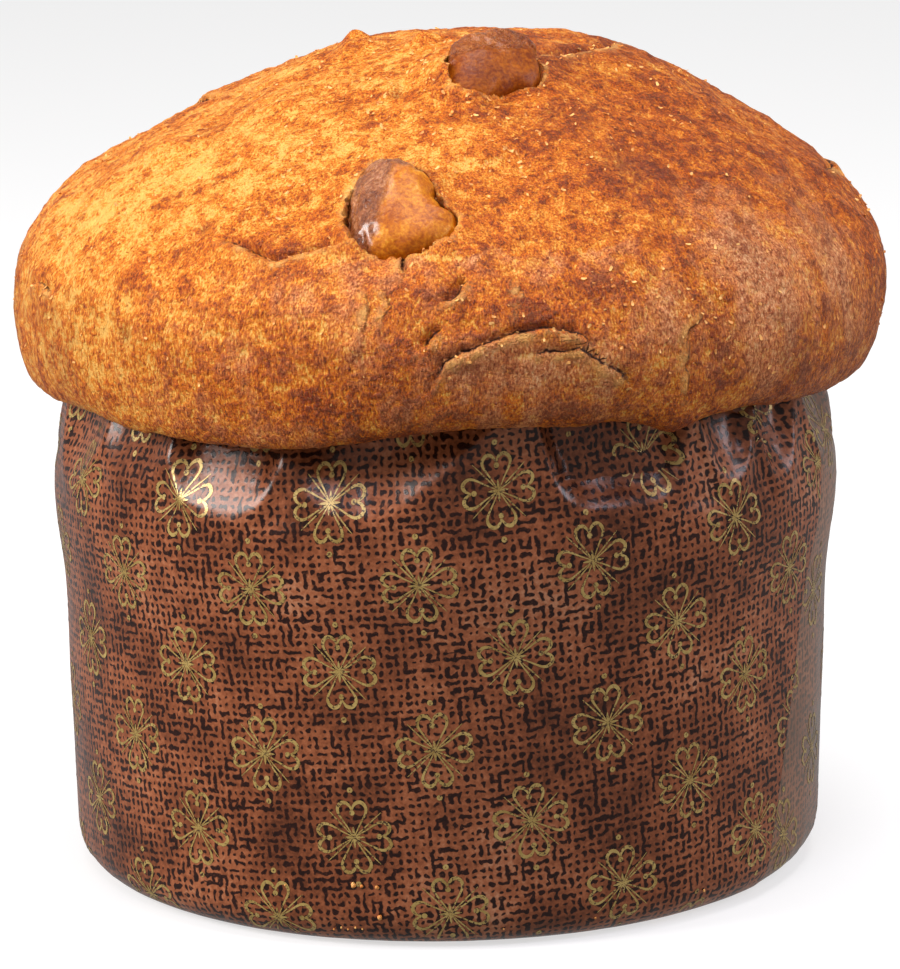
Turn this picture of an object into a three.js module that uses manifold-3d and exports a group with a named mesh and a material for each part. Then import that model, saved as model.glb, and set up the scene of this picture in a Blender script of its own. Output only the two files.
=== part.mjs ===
// Panettone: a domed sweet bread that has risen over the edge of its printed paper case.
// Millimetres, +Z up, origin at the middle of the case's flat base, on the floor.
// A bearing is an angle round the loaf in degrees: 0 is the front (-Y), 90 is the right (+X).
import * as THREE from "three";
import { mergeVertices } from "three/addons/utils/BufferGeometryUtils.js";
import Module from "manifold-3d";

const solids = await Module();
solids.setup();

// ---- Driving dimensions of the paper case ----
const caseHeight = 119.5; // floor to the top edge of the paper
const waistRadius = 86; // outside, half way up
const footRadius = 84.6; // outside, where the rounded foot ends
const footRound = 9; // radius of the rounded foot
const barrelTop = 45; // the wall widens from the foot to the waist up to here
const swellHeight = 86; // the paper swells out most here
const swell = 2.3; // and by this much
const swellReach = 15; // over this height, up and down
const swellKept = 0.7; // share of the swell that stays above its height
const tuck = 7.5; // how far the top edge is drawn in under the cap
const tuckPower = 1.15; // over 1, the drawing in starts gently
const creaseHeight = 91; // where the drawing in starts between two ridges
const creaseMargin = 7; // the crease stays this far under the top edge
const paper = 0.8; // thickness of the wall and of the base
const gap = 0.3; // clearance between pieces that touch
const lean = 0.011; // the case and the loaf lean this much to the right, per height

// Where the paper stays out, the crease rises to a ridge: bearing, rise and half width.
const ridges = [
  { bearing: 5, rise: 22, width: 10 },
  { bearing: 50, rise: 10, width: 4.5 },
  { bearing: 108, rise: 9, width: 14 },
  { bearing: 152, rise: 14, width: 11 },
  { bearing: -166, rise: 8, width: 12 },
  { bearing: -122, rise: 13, width: 13 },
  { bearing: -66, rise: 5, width: 9 },
  { bearing: -31, rise: 12, width: 12 },
];

// ---- Driving dimensions of the loaf ----
const topHeight = 187; // floor to the top of the dome
const wideHeight = 130; // the cap is widest here
const wideRadius = 97.8;
const widerRight = 1.1; // the cap is wider by this on its right and narrower on its left
const rimRadius = 90.8; // the cap's lowest edge
const rimHeight = 112.2;
const shoulderPower = 2.4; // over 2, the dome is flatter on top and squarer at its shoulder
const domeHollow = 0.26; // how much the dome narrows between its top and its shoulder
const crownShift = 7.2; // the dome's top leans this far to the right
const throatHeight = caseHeight + 2 * gap; // the cap lies on the paper's edge

// The rim hangs lower in places and is lifted in others: bearing, lift and half width.
const rimLifts = [
  { bearing: -34, lift: -1.4, width: 15 },
  { bearing: 9, lift: 4.2, width: 21 },
  { bearing: 45, lift: 2.3, width: 8 },
  { bearing: 120, lift: 2.4, width: 18 },
  { bearing: 178, lift: -1.6, width: 22 },
  { bearing: -118, lift: 2.2, width: 16 },
];

// ---- Relief of the crust ----
const rippleHeight = 0.5; // soft waves over the whole cap
const rippleAcross = [9, 14]; // how long the waves are along X and Z, for their two parts
const rippleAlong = [11, 8]; // along Y and Z
const lipWidth = 4.5; // half width of the torn lip round each block of peel
// Soft swellings and sunk places: bearing, way down the dome (0 top, 1 widest), reach and height.
const swellings = [
  { bearing: -32, down: 0.1, reach: 13, height: 1.6 },
  { bearing: -76, down: 0.21, reach: 5, height: 2.2 },
  { bearing: -12, down: 0.9, reach: 12, height: 1.4 },
  { bearing: -26, down: 0.7, reach: 11, height: -1.6 },
  { bearing: -66, down: 0.62, reach: 9, height: 1.2 },
  { bearing: 62, down: 0.55, reach: 15, height: -0.6 },
  { bearing: 20, down: 1.02, reach: 9, height: 1.3 },
  { bearing: 2, down: 0.5, reach: 9, height: 1 },
  { bearing: 50, down: 0.4, reach: 15, height: -1.2 },
  { bearing: 130, down: 0.55, reach: 18, height: 1.8 },
  { bearing: 175, down: 0.75, reach: 14, height: -1.5 },
  { bearing: -140, down: 0.5, reach: 16, height: 1.6 },
  { bearing: -105, down: 0.8, reach: 15, height: 1.3 },
];
// Tears where the crust split as it rose: the places it runs through, half width and depth.
const tears = [
  { through: [[-32, 0.78], [-24, 0.81], [-19, 0.775], [-14, 0.77]], width: 2.6, depth: 2.6 },
  { through: [[24, 0.2], [50, 0.195], [100, 0.27]], width: 2.8, depth: 2.2 },
  { through: [[3, 0.985], [7, 0.95], [14, 0.935], [19, 0.985], [24, 1.06]], width: 2, depth: 1.8 },
  { through: [[-2, 0.9], [3, 0.85]], width: 2.6, depth: 2.2 },
  { through: [[-6.5, 0.78], [-6, 0.84]], width: 1.8, depth: 1.6 },
  { through: [[140, 0.86], [152, 0.9], [165, 0.84]], width: 2.8, depth: 2.4 },
  { through: [[-100, 0.5], [-112, 0.58], [-126, 0.56]], width: 2.6, depth: 2 },
];

// ---- Candied orange peel ----
// Blocks of peel: place on the dome, size across, along the slope and through, how far it is
// turned and tipped, how far it stands out, and the torn lip of crust round it.
const peels = [
  {
    name: "candied_peel_front", bearing: -8, down: 0.685, size: [25, 26, 18],
    turn: 14, tip: 4, standOut: 4.6, lip: 1.5, colour: "#b86a1d",
  },
  {
    name: "candied_peel_top", bearing: 8, down: 0.26, size: [26, 20, 16],
    turn: 4, tip: 20, standOut: 5.6, lip: 2.6, colour: "#8a4310",
  },
  {
    name: "candied_peel_back", bearing: 158, down: 0.58, size: [22, 17, 14],
    turn: -30, tip: 0, standOut: 3.6, lip: 1.4, colour: "#b0621c",
  },
];

const peelSquareness = 5; // 2 is an egg, more is nearer to a box
const peelNarrowing = 0.14; // a block narrows towards one end
const peelUneven = 0.05; // and its faces wave by this share of its size

// ---- Plain colours and roughness ----
const crustFinish = ["#d6863c", 0.7];
const paperFinish = ["#7b4630", 0.35];
const peelRoughness = 0.3;

// ---- Fineness of the faceted surfaces ----
const bearingSteps = 54;
const frontCrowding = 0.5; // steps are this much shorter at the front and longer at the back
const domeSteps = 22;
const lipSteps = 4;
const footSteps = 3;
const peelSteps = [14, 9]; // round a block of peel, and from end to end
const weldDistance = 1e-4; // points nearer than this are one
const underShares = [1, 0.66, 0.33]; // rings under the cap, from the throat to the rim
const plainHeights = [18, 30, 44, 58, 70]; // wall rings below the puckers
const puckerHeights = [80, 85, 89, 93, 97, 101, 105, 109, 114, caseHeight];
const hiddenHeights = [44, 70, ...puckerHeights]; // the wall's inner face and the crumb behind it

const radians = THREE.MathUtils.degToRad;
const lerp = THREE.MathUtils.lerp;
const clamp = THREE.MathUtils.clamp;

function turnBetween(angle, bearing) {
  const turn = 2 * Math.PI;
  return (((angle - radians(bearing) + Math.PI) % turn) + turn) % turn - Math.PI;
}

// 1 at the bearing, falling to nothing away from it; a higher power makes steeper sides.
function bump(angle, bearing, width, power = 2) {
  return Math.exp(-(Math.abs(turnBetween(angle, bearing) / radians(width)) ** power));
}

const angles = Array.from({ length: bearingSteps }, (_, step) => {
  const even = (2 * Math.PI * step) / bearingSteps;
  return even - frontCrowding * Math.sin(even);
});

// ---- Closed surfaces from rings ----
// Each ring holds one point for each bearing; a pole closes each end, or the last ring is
// joined to the first. Rings are given so that the faces point outwards. Each four-sided patch
// is split the same way up whichever way its rings run, so surfaces that nest stay clear.
function surfaceFromRings(rings, poles) {
  const count = rings[0].length;
  const points = rings.flat();
  const faces = [];
  const joints = poles ? rings.length - 1 : rings.length;
  for (let ring = 0; ring < joints; ring += 1) {
    const here = ring * count;
    const next = ((ring + 1) % rings.length) * count;
    for (let step = 0; step < count; step += 1) {
      const beside = (step + 1) % count;
      if (points[next + step].z >= points[here + step].z) {
        faces.push(here + step, here + beside, next + beside);
        faces.push(here + step, next + beside, next + step);
      } else {
        faces.push(here + step, here + beside, next + step);
        faces.push(here + beside, next + beside, next + step);
      }
    }
  }
  if (poles) {
    const last = (rings.length - 1) * count;
    points.push(poles[0], poles[1]);
    for (let step = 0; step < count; step += 1) {
      const beside = (step + 1) % count;
      faces.push(points.length - 2, beside, step);
      faces.push(points.length - 1, last + step, last + beside);
    }
  }
  const geometry = new THREE.BufferGeometry().setFromPoints(points);
  geometry.setIndex(faces);
  return geometry;
}

function onBearing(angle, radius, height) {
  return new THREE.Vector3(radius * Math.sin(angle) + lean * height, -radius * Math.cos(angle), height);
}

function ringOf(radiusAt, heightAt) {
  return angles.map((angle) => onBearing(angle, radiusAt(angle), heightAt(angle)));
}

// ---- Paper case ----
function creaseAt(angle) {
  return ridges.reduce(
    (height, ridge) => height + ridge.rise * bump(angle, ridge.bearing, ridge.width, 4),
    creaseHeight,
  );
}

// Outside radius of the paper: a slight barrel, a swell, and the puckered top drawn in.
function wallRadius(angle, height) {
  const barrel = lerp(footRadius, waistRadius, clamp(height / barrelTop, 0, 1));
  const swollen = swell * Math.exp(-(((height - swellHeight) / swellReach) ** 2));
  const crease = Math.min(creaseAt(angle), caseHeight - creaseMargin);
  const above = clamp((height - crease) / (caseHeight - crease), 0, 1);
  const kept = height > swellHeight ? swellKept * swell : 0;
  return barrel + Math.max(swollen, kept) - tuck * above ** tuckPower;
}

// The rounded foot, moved inwards by an inset; quarter turn from the base to the wall.
function footRings(inset, inwardFirst) {
  const rings = [];
  for (let step = 0; step < footSteps; step += 1) {
    const share = inwardFirst ? step / footSteps : (footSteps - 1 - step) / footSteps;
    const bend = (share * Math.PI) / 2;
    const round = footRound - inset;
    rings.push(ringOf(
      (angle) => wallRadius(angle, footRound) - footRound + round * Math.sin(bend),
      () => footRound - round * Math.cos(bend),
    ));
  }
  return rings;
}

function wallRing(height, inset) {
  return ringOf((angle) => wallRadius(angle, height) - inset, () => height);
}

function makeCaseWall() {
  const outerHeights = [footRound, ...plainHeights, ...puckerHeights];
  const innerHeights = [footRound, ...hiddenHeights];
  const rings = [
    ...footRings(0, true),
    ...outerHeights.map((height) => wallRing(height, 0)),
    ...innerHeights.reverse().map((height) => wallRing(height, paper)),
    ...footRings(paper, false),
  ];
  return surfaceFromRings(rings, null);
}

function makeCaseBase() {
  const innerRadius = footRadius - footRound - gap;
  const rings = [
    ringOf(() => innerRadius, () => 0),
    ringOf(() => innerRadius, () => paper),
  ];
  return surfaceFromRings(rings, [onBearing(0, 0, 0), onBearing(0, 0, paper)]);
}

// ---- Loaf ----
function rimAt(angle) {
  return rimLifts.reduce(
    (height, place) => height + place.lift * bump(angle, place.bearing, place.width),
    rimHeight,
  );
}

// A point of the smooth cap. Way down: 0 at the top, 1 where it is widest, 2 at the rim.
function capPoint(angle, down) {
  const slope = (Math.min(down, 1) * Math.PI) / 2;
  const wide = wideRadius + widerRight * Math.sin(angle);
  if (down > 1) {
    const under = ((down - 1) * Math.PI) / 2;
    const rim = rimAt(angle);
    return onBearing(
      angle,
      rimRadius + (wide - rimRadius) * Math.cos(under),
      wideHeight - (wideHeight - rim) * Math.sin(under),
    );
  }
  const narrowing = 1 - domeHollow * Math.sin(2 * slope) * Math.cos(slope);
  const lift = Math.cos(slope) ** (2 / shoulderPower);
  const point = onBearing(
    angle,
    wide * Math.sin(slope) * narrowing,
    wideHeight + (topHeight - wideHeight) * lift,
  );
  point.x += crownShift * Math.cos(slope) ** 2;
  return point;
}

// Outward direction at a point of the cap, as on an ellipsoid of its size.
function capOutward(point) {
  const rise = point.z > wideHeight ? topHeight - wideHeight : wideHeight - rimHeight;
  return new THREE.Vector3(
    point.x / wideRadius ** 2,
    point.y / wideRadius ** 2,
    (point.z - wideHeight) / rise ** 2,
  ).normalize();
}

function placeOnCap([bearing, down]) {
  return capPoint(radians(bearing), down);
}

function distanceToRun(point, run) {
  const nearest = new THREE.Vector3();
  let shortest = Infinity;
  for (let leg = 0; leg + 1 < run.length; leg += 1) {
    new THREE.Line3(run[leg], run[leg + 1]).closestPointToPoint(point, true, nearest);
    shortest = Math.min(shortest, point.distanceTo(nearest));
  }
  return shortest;
}

const swellingPlaces = swellings.map(({ bearing, down }) => placeOnCap([bearing, down]));
const tearRuns = tears.map(({ through }) => through.map(placeOnCap));
const peelPlaces = peels.map(({ bearing, down }) => placeOnCap([bearing, down]));

// Height of the crust over the smooth cap.
function relief(point) {
  const across = Math.sin(point.x / rippleAcross[0] + point.z / rippleAcross[1]);
  const along = Math.cos(point.y / rippleAlong[0] - point.z / rippleAlong[1]);
  let height = rippleHeight * across * along;
  swellings.forEach(({ reach, height: rise }, index) => {
    const away = point.distanceTo(swellingPlaces[index]) / reach;
    height += rise * Math.exp(-(away ** 2));
  });
  tears.forEach(({ width, depth }, index) => {
    const away = distanceToRun(point, tearRuns[index]) / width;
    height -= depth * Math.exp(-(away ** 2));
  });
  peels.forEach(({ size, lip }, index) => {
    const reach = (size[0] + size[1]) / 4;
    const away = (point.distanceTo(peelPlaces[index]) - reach) / lipWidth;
    height += lip * Math.exp(-(away ** 2));
  });
  return height;
}

function crustPoint(angle, down) {
  const point = capPoint(angle, down);
  return point.addScaledVector(capOutward(point), relief(point));
}

function crustRing(down) {
  return angles.map((angle) => crustPoint(angle, down));
}

// Under the cap, from the rim inwards and up to the throat that clears the paper's edge.
function undersideRing(share) {
  return angles.map((angle) => {
    const rim = crustPoint(angle, 2);
    const throatRadius = wallRadius(angle, caseHeight) + 3 * gap;
    const height = lerp(rim.z, throatHeight, Math.sqrt(share));
    const radius = lerp(Math.hypot(rim.x, rim.y), throatRadius, share);
    const paperRadius = wallRadius(angle, Math.min(height, caseHeight)) + 3 * gap;
    return onBearing(angle, Math.max(radius, paperRadius), height);
  });
}

function makeLoaf() {
  const inset = paper + gap;
  const rings = [
    ...footRings(inset, true),
    ...[footRound, ...hiddenHeights].map((height) => wallRing(height, inset)),
    ringOf((angle) => wallRadius(angle, caseHeight) - inset, () => throatHeight),
    ...underShares.map(undersideRing),
  ];
  for (let step = 0; step <= lipSteps; step += 1) {
    rings.push(crustRing(2 - step / lipSteps));
  }
  for (let step = 1; step < domeSteps; step += 1) {
    rings.push(crustRing(1 - step / domeSteps));
  }
  const bottom = onBearing(0, 0, inset);
  return surfaceFromRings(rings, [bottom, crustPoint(0, 0)]);
}

// ---- Peel ----
// A soft-edged block: a sphere pushed out towards a box, narrower at one end, grown by a margin.
function makePeelBlock({ bearing, down, size, turn, tip, standOut }, margin) {
  const block = new THREE.SphereGeometry(1, ...peelSteps);
  const places = block.getAttribute("position");
  const point = new THREE.Vector3();
  for (let index = 0; index < places.count; index += 1) {
    point.fromBufferAttribute(places, index);
    const boxed = point.toArray().reduce((sum, part) => sum + Math.abs(part) ** peelSquareness, 0);
    point.multiplyScalar(boxed ** (-1 / peelSquareness));
    const narrowing = 1 - peelNarrowing * point.x;
    const wave = 1 + peelUneven * Math.sin(4 * point.x + 3 * point.z) * Math.cos(3 * point.y);
    places.setXYZ(
      index,
      point.x * (size[0] / 2 + margin) * wave,
      point.y * (size[1] / 2 + margin) * narrowing * wave,
      point.z * (size[2] / 2 + margin) * wave,
    );
  }
  const centre = placeOnCap([bearing, down]);
  const outward = capOutward(centre);
  const across = new THREE.Vector3(0, 0, 1).cross(outward).normalize();
  const upSlope = outward.clone().cross(across);
  block.rotateX(radians(tip));
  block.rotateZ(radians(turn));
  block.applyMatrix4(new THREE.Matrix4().makeBasis(across, upSlope, outward));
  const depth = standOut - size[2] / 2;
  block.translate(...centre.addScaledVector(outward, depth).toArray());
  block.deleteAttribute("normal");
  block.deleteAttribute("uv");
  return mergeVertices(block, weldDistance);
}

// ---- Booleans ----
function toSolid(geometry) {
  return new solids.Manifold(new solids.Mesh({
    numProp: 3,
    vertProperties: new Float32Array(geometry.getAttribute("position").array),
    triVerts: new Uint32Array(geometry.index.array),
  }));
}

function toGeometry(solid) {
  const mesh = solid.getMesh();
  const geometry = new THREE.BufferGeometry();
  geometry.setAttribute("position", new THREE.BufferAttribute(mesh.vertProperties, 3));
  geometry.setIndex(new THREE.BufferAttribute(mesh.triVerts, 1));
  return geometry;
}

// ---- Model ----
const panettone = new THREE.Group();

function addPiece(name, geometry, [color, roughness]) {
  geometry.computeVertexNormals();
  const material = new THREE.MeshStandardMaterial({ color, roughness, metalness: 0 });
  const piece = new THREE.Mesh(geometry, material);
  piece.name = name;
  panettone.add(piece);
}

let loaf = toSolid(makeLoaf());
for (const peel of peels) {
  loaf = loaf.subtract(toSolid(makePeelBlock(peel, gap)));
  addPiece(peel.name, makePeelBlock(peel, 0), [peel.colour, peelRoughness]);
}
addPiece("loaf", toGeometry(loaf), crustFinish);
addPiece("case_wall", makeCaseWall(), paperFinish);
addPiece("case_base", makeCaseBase(), paperFinish);

export default panettone;
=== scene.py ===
# A panettone: a domed sweet bread with candied peel, risen over its printed paper case.
# Lengths are millimetres until a mesh is made. A bearing is an angle round the loaf in
# degrees: 0 is the front (-Y), 90 the right (+X). Way down the cap: 0 top, 1 widest, 2 rim.
import math

import bpy
import numpy as np
from mathutils import Matrix, Vector


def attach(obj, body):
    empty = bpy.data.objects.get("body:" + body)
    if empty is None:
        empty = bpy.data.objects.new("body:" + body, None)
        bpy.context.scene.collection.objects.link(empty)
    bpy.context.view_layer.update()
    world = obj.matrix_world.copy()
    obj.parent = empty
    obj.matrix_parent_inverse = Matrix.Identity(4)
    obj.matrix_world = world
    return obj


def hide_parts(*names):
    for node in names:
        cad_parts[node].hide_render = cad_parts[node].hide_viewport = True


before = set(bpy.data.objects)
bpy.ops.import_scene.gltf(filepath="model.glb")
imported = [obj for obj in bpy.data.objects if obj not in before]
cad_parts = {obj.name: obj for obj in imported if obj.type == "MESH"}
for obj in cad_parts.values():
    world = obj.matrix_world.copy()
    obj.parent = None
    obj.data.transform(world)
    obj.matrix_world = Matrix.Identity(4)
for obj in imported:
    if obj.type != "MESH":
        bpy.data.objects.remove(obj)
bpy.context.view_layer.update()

metre = 0.001
turn = 2 * math.pi
print("frame loaded")


def unit(vectors):
    return vectors / np.maximum(np.linalg.norm(vectors, axis=-1, keepdims=True), 1e-9)


def softStep(low, high, value):
    share = np.clip((value - low) / (high - low), 0, 1)
    return share * share * (3 - 2 * share)


def mixed(one, other, share):
    return one + (other - one) * share


def turnBetween(angle, bearing):
    return (angle - math.radians(bearing) + math.pi) % turn - math.pi


def bump(angle, bearing, width, power=2):
    return np.exp(-np.abs(turnBetween(angle, bearing) / math.radians(width)) ** power)


def scrambled(x, y, z, seed):
    mark = (x * 73856093) ^ (y * 19349663) ^ (z * 83492791) ^ (seed * 982451653)
    mark = ((mark ^ (mark >> 13)) * 1274126177) & 0xFFFFFFFF
    return (mark ^ (mark >> 15)) & 0xFFFFFF


# Smooth random field from about -1 to 1, with lumps the size of a cell.
def lumps(points, cell, seed):
    spot = points / cell
    corner = np.floor(spot).astype(np.int64)
    inside = spot - corner
    fade = inside ** 3 * (inside * (inside * 6 - 15) + 10)
    total = np.zeros(len(points))
    for stepX in (0, 1):
        for stepY in (0, 1):
            for stepZ in (0, 1):
                step = np.array([stepX, stepY, stepZ])
                mark = scrambled(*(corner + step).T, seed)
                slope = np.stack([mark & 255, (mark >> 8) & 255, (mark >> 16) & 255], 1) / 127.5 - 1
                weight = np.where(step == 1, fade, 1 - fade).prod(1)
                total += weight * ((inside - step) * slope).sum(1)
    return total * 1.5


def addObject(name, data):
    item = bpy.data.objects.new(name, data)
    bpy.context.scene.collection.objects.link(item)
    return item


def addMesh(name, points, faces, fields=None, flat=None):
    mesh = bpy.data.meshes.new(name)
    mesh.from_pydata((np.asarray(points) * metre).tolist(), [], faces)
    mesh.validate()
    for field, values in (fields or {}).items():
        layer = mesh.attributes.new(field, "FLOAT", "POINT")
        layer.data.foreach_set("value", np.asarray(values, np.float32))
    if flat is not None:
        corners = np.zeros(len(mesh.loops), np.int32)
        mesh.loops.foreach_get("vertex_index", corners)
        layer = mesh.uv_layers.new(name="flat")
        layer.data.foreach_set("uv", np.asarray(flat, np.float32)[corners].ravel())
    mesh.shade_smooth()
    return addObject(name, mesh)


# Faces between rings of points, each ring a whole turn; poles close the ends.
def ringFaces(rings, count, closed=False):
    faces = []
    joints = rings if closed else rings - 1
    for ring in range(joints):
        here = ring * count
        after = ((ring + 1) % rings) * count
        for step in range(count):
            beside = (step + 1) % count
            faces.append((here + step, here + beside, after + beside, after + step))
    return faces


def poleFaces(rings, count):
    first = rings * count
    last = (rings - 1) * count
    faces = []
    for step in range(count):
        beside = (step + 1) % count
        faces.append((first, beside, step))
        faces.append((first + 1, last + step, last + beside))
    return faces


# A material's shader tree, with short ways to add to it.
class Nodes:
    def __init__(self, name):
        self.material = bpy.data.materials.new(name)
        self.material.use_nodes = True
        self.tree = self.material.node_tree
        self.skin = self.tree.nodes["Principled BSDF"]

    def add(self, kind, **settings):
        node = self.tree.nodes.new(kind)
        for key, value in settings.items():
            setattr(node, key, value)
        return node

    def join(self, source, node, socket):
        self.tree.links.new(source, node.inputs[socket])

    def feed(self, node, socket, value):
        if isinstance(value, bpy.types.NodeSocket):
            self.join(value, node, socket)
        else:
            node.inputs[socket].default_value = value

    def sum(self, work, first, second=0.0, third=0.0, clamp=False):
        node = self.add("ShaderNodeMath", operation=work, use_clamp=clamp)
        self.feed(node, 0, first)
        self.feed(node, 1, second)
        self.feed(node, 2, third)
        return node.outputs[0]

    # Moves a base value up or down by how far a texture is from its middle, 0.5.
    def shifted(self, value, by, base):
        return self.sum("MULTIPLY_ADD", self.sum("SUBTRACT", value, 0.5), by, base)

    def spread(self, value, low, high, toLow=0.0, toHigh=1.0):
        node = self.add("ShaderNodeMapRange", interpolation_type="SMOOTHSTEP")
        self.feed(node, 0, value)
        self.feed(node, 1, low)
        self.feed(node, 2, high)
        self.feed(node, 3, toLow)
        self.feed(node, 4, toHigh)
        return node.outputs[0]

    def noise(self, place, scale, detail=2.0, rough=0.5, warp=0.0):
        node = self.add("ShaderNodeTexNoise")
        self.feed(node, "Vector", place)
        self.feed(node, "Scale", scale)
        self.feed(node, "Detail", detail)
        self.feed(node, "Roughness", rough)
        self.feed(node, "Distortion", warp)
        return node.outputs["Fac"]

    def placed(self, place, turned=(0, 0, 0), stretch=(1, 1, 1)):
        node = self.add("ShaderNodeMapping")
        self.join(place, node, "Vector")
        node.inputs["Rotation"].default_value = [math.radians(angle) for angle in turned]
        node.inputs["Scale"].default_value = stretch
        return node.outputs["Vector"]

    def field(self, name):
        return self.add("ShaderNodeAttribute", attribute_name=name).outputs["Fac"]

    def blend(self, share, one, other, how="MIX"):
        node = self.add("ShaderNodeMix", data_type="RGBA", blend_type=how)
        self.feed(node, 0, share)
        self.feed(node, 6, one)
        self.feed(node, 7, other)
        return node.outputs[2]

    def ramp(self, value, stops):
        node = self.add("ShaderNodeValToRGB")
        self.join(value, node, 0)
        marks = node.color_ramp.elements
        while len(marks) < len(stops):
            marks.new(0.5)
        for mark, (place, colour) in zip(marks, stops):
            mark.position = place
            mark.color = colour
        return node.outputs["Color"]

    def bumpFrom(self, height, depth, strength=1.0, under=None):
        node = self.add("ShaderNodeBump")
        self.join(height, node, "Height")
        node.inputs["Distance"].default_value = depth * metre
        node.inputs["Strength"].default_value = strength
        if under is not None:
            self.join(under, node, "Normal")
        return node.outputs["Normal"]

    def ownPlace(self):
        return self.add("ShaderNodeTexCoord").outputs["Object"]

    # Sets what is the same all over the surface.
    def even(self, values):
        for socket, value in values.items():
            self.skin.inputs[socket].default_value = value


# Builds one Geometry Nodes tree and runs it.
class Shaper:
    def __init__(self, name, inputs):
        self.tree = bpy.data.node_groups.new(name, "GeometryNodeTree")
        self.tree.interface.new_socket("Geometry", in_out="INPUT", socket_type="NodeSocketGeometry")
        self.tree.interface.new_socket("Geometry", in_out="OUTPUT", socket_type="NodeSocketGeometry")
        for label, kind in inputs:
            self.tree.interface.new_socket(label, in_out="INPUT", socket_type=kind)
        self.entry = self.tree.nodes.new("NodeGroupInput")
        self.exit = self.tree.nodes.new("NodeGroupOutput")

    def add(self, kind, inputs=None, **settings):
        node = self.tree.nodes.new(kind)
        for key, value in settings.items():
            setattr(node, key, value)
        for socket, value in (inputs or {}).items():
            if isinstance(value, bpy.types.NodeSocket):
                self.tree.links.new(value, node.inputs[socket])
            else:
                node.inputs[socket].default_value = value
        return node

    def sum(self, work, first, second=0.0):
        return self.add("ShaderNodeMath", {0: first, 1: second}, operation=work).outputs[0]

    def span(self, value, low, high, toLow, toHigh):
        return self.add("ShaderNodeMapRange", {0: value, 1: low, 2: high, 3: toLow, 4: toHigh}).outputs[0]

    def given(self, label):
        return self.entry.outputs[label]

    def finish(self, geometry):
        real = self.add("GeometryNodeRealizeInstances", {0: geometry}).outputs[0]
        coloured = self.add("GeometryNodeSetMaterial",
                            {"Geometry": real, "Material": self.given("Material")})
        self.tree.links.new(coloured.outputs[0], self.exit.inputs[0])

    # Runs the tree on a holder and gives back a plain mesh in an object of its own.
    def run(self, name, values, mesh=None):
        holder = addObject(name + "_holder", mesh or bpy.data.meshes.new(name + "_holder"))
        modifier = holder.modifiers.new("shape", "NODES")
        modifier.node_group = self.tree
        for item in self.tree.interface.items_tree:
            if item.in_out == "INPUT" and item.name in values:
                modifier[item.identifier] = values[item.name]
        bpy.context.view_layer.update()
        graph = bpy.context.evaluated_depsgraph_get()
        seen = holder.evaluated_get(graph)
        made = bpy.data.meshes.new_from_object(seen, preserve_all_data_layers=True, depsgraph=graph)
        holder.modifiers.remove(modifier)
        bpy.data.objects.remove(holder)
        made.name = name
        return addObject(name, made)


# A colour picked on screen, 0 to 255, as the shader's linear colour.
def paint(red, green, blue):
    def linear(value):
        value = value / 255
        return value / 12.92 if value <= 0.04045 else ((value + 0.055) / 1.055) ** 2.4
    return (linear(red), linear(green), linear(blue), 1.0)


camera = {
    "place": (1.35, -1200, 355.46), "aim": (1.85, 0, 84), "lens": 201.36, "film": 36, "roll": 1.0,
}


def addCamera():
    data = bpy.data.cameras.new("camera")
    data.lens = camera["lens"]
    data.sensor_width = camera["film"]
    data.clip_end = 20
    ahead = (Vector(camera["aim"]) - Vector(camera["place"])).normalized()
    right = ahead.cross(Vector((0, 0, 1))).normalized()
    up = right.cross(ahead)
    roll = math.radians(camera["roll"])
    tiltedRight = right * math.cos(roll) - up * math.sin(roll)
    tiltedUp = up * math.cos(roll) + right * math.sin(roll)
    turned = Matrix((tiltedRight, tiltedUp, -ahead)).transposed().to_4x4()
    eye = addObject("camera", data)
    eye.matrix_world = Matrix.Translation(Vector(camera["place"]) * metre) @ turned
    bpy.context.scene.camera = eye


addCamera()


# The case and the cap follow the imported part's sizes; their pockets and rim are finer here.
case = {
    "height": 119.5, "waist": 86.0, "foot": 84.6, "footRound": 9.0, "barrelTop": 45.0,
    "swellHeight": 86.0, "swell": 2.3, "swellReach": 15.0, "swellKept": 0.7,
    "tuck": 7.5, "crease": 91.0, "paper": 0.8, "gap": 0.3, "lean": 0.011,
    "ridges": [(5, 22, 10), (50, 10, 4.5), (108, 9, 14), (152, 14, 11), (-166, 8, 12),
               (-122, 13, 13), (-66, 5, 9), (-31, 12, 12)],   # bearing, rise, half width
    # Pockets where the paper is drawn in, seen from the front: bearing, half widths to the
    # left and right, height of the lowest point, squareness, depth and how soon it is reached.
    "pockets": [(26, 13.5, 12.5, 94.5, 5, 5.6, 7), (45.5, 6.5, 6, 97, 2.6, 5, 7.5),
                (56.5, 5.5, 7, 94, 2.6, 5, 7.5),
                (-15, 8.5, 23, 94, 1.9, 6.2, 9.5), (-33.5, 11, 9, 94.5, 4, 7, 10),
                (-52, 10, 9, 97, 2.2, 5.5, 9.5),
                (-71, 11, 12, 93, 2.2, 5, 10), (74, 10, 14, 95, 2.6, 5, 9)],
    # How high the paper stays full between them, and where that is less.
    "ridgeTop": 117.0, "ridgeFalls": [(-30, 12, 24), (-66, 10, 14), (50, 4, 14)],   # bearing, fall, width
    "backDepth": 5.0, "backRun": 8.5, "foldStand": 0.7, "foldReach": 3.2, "lapFade": 22, "fullShare": 0.85,
    # drawn in all round, but for one place
    "easeFrom": 90.0, "easeDepth": 3.4, "easeRun": 15.0, "fullAt": (4.5, 10),
    "seamFoot": 54.9, "seamLean": 0.159, "seamTurn": 95.0, "seamBack": 0.3, "seamStep": 0.5,
}
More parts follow.
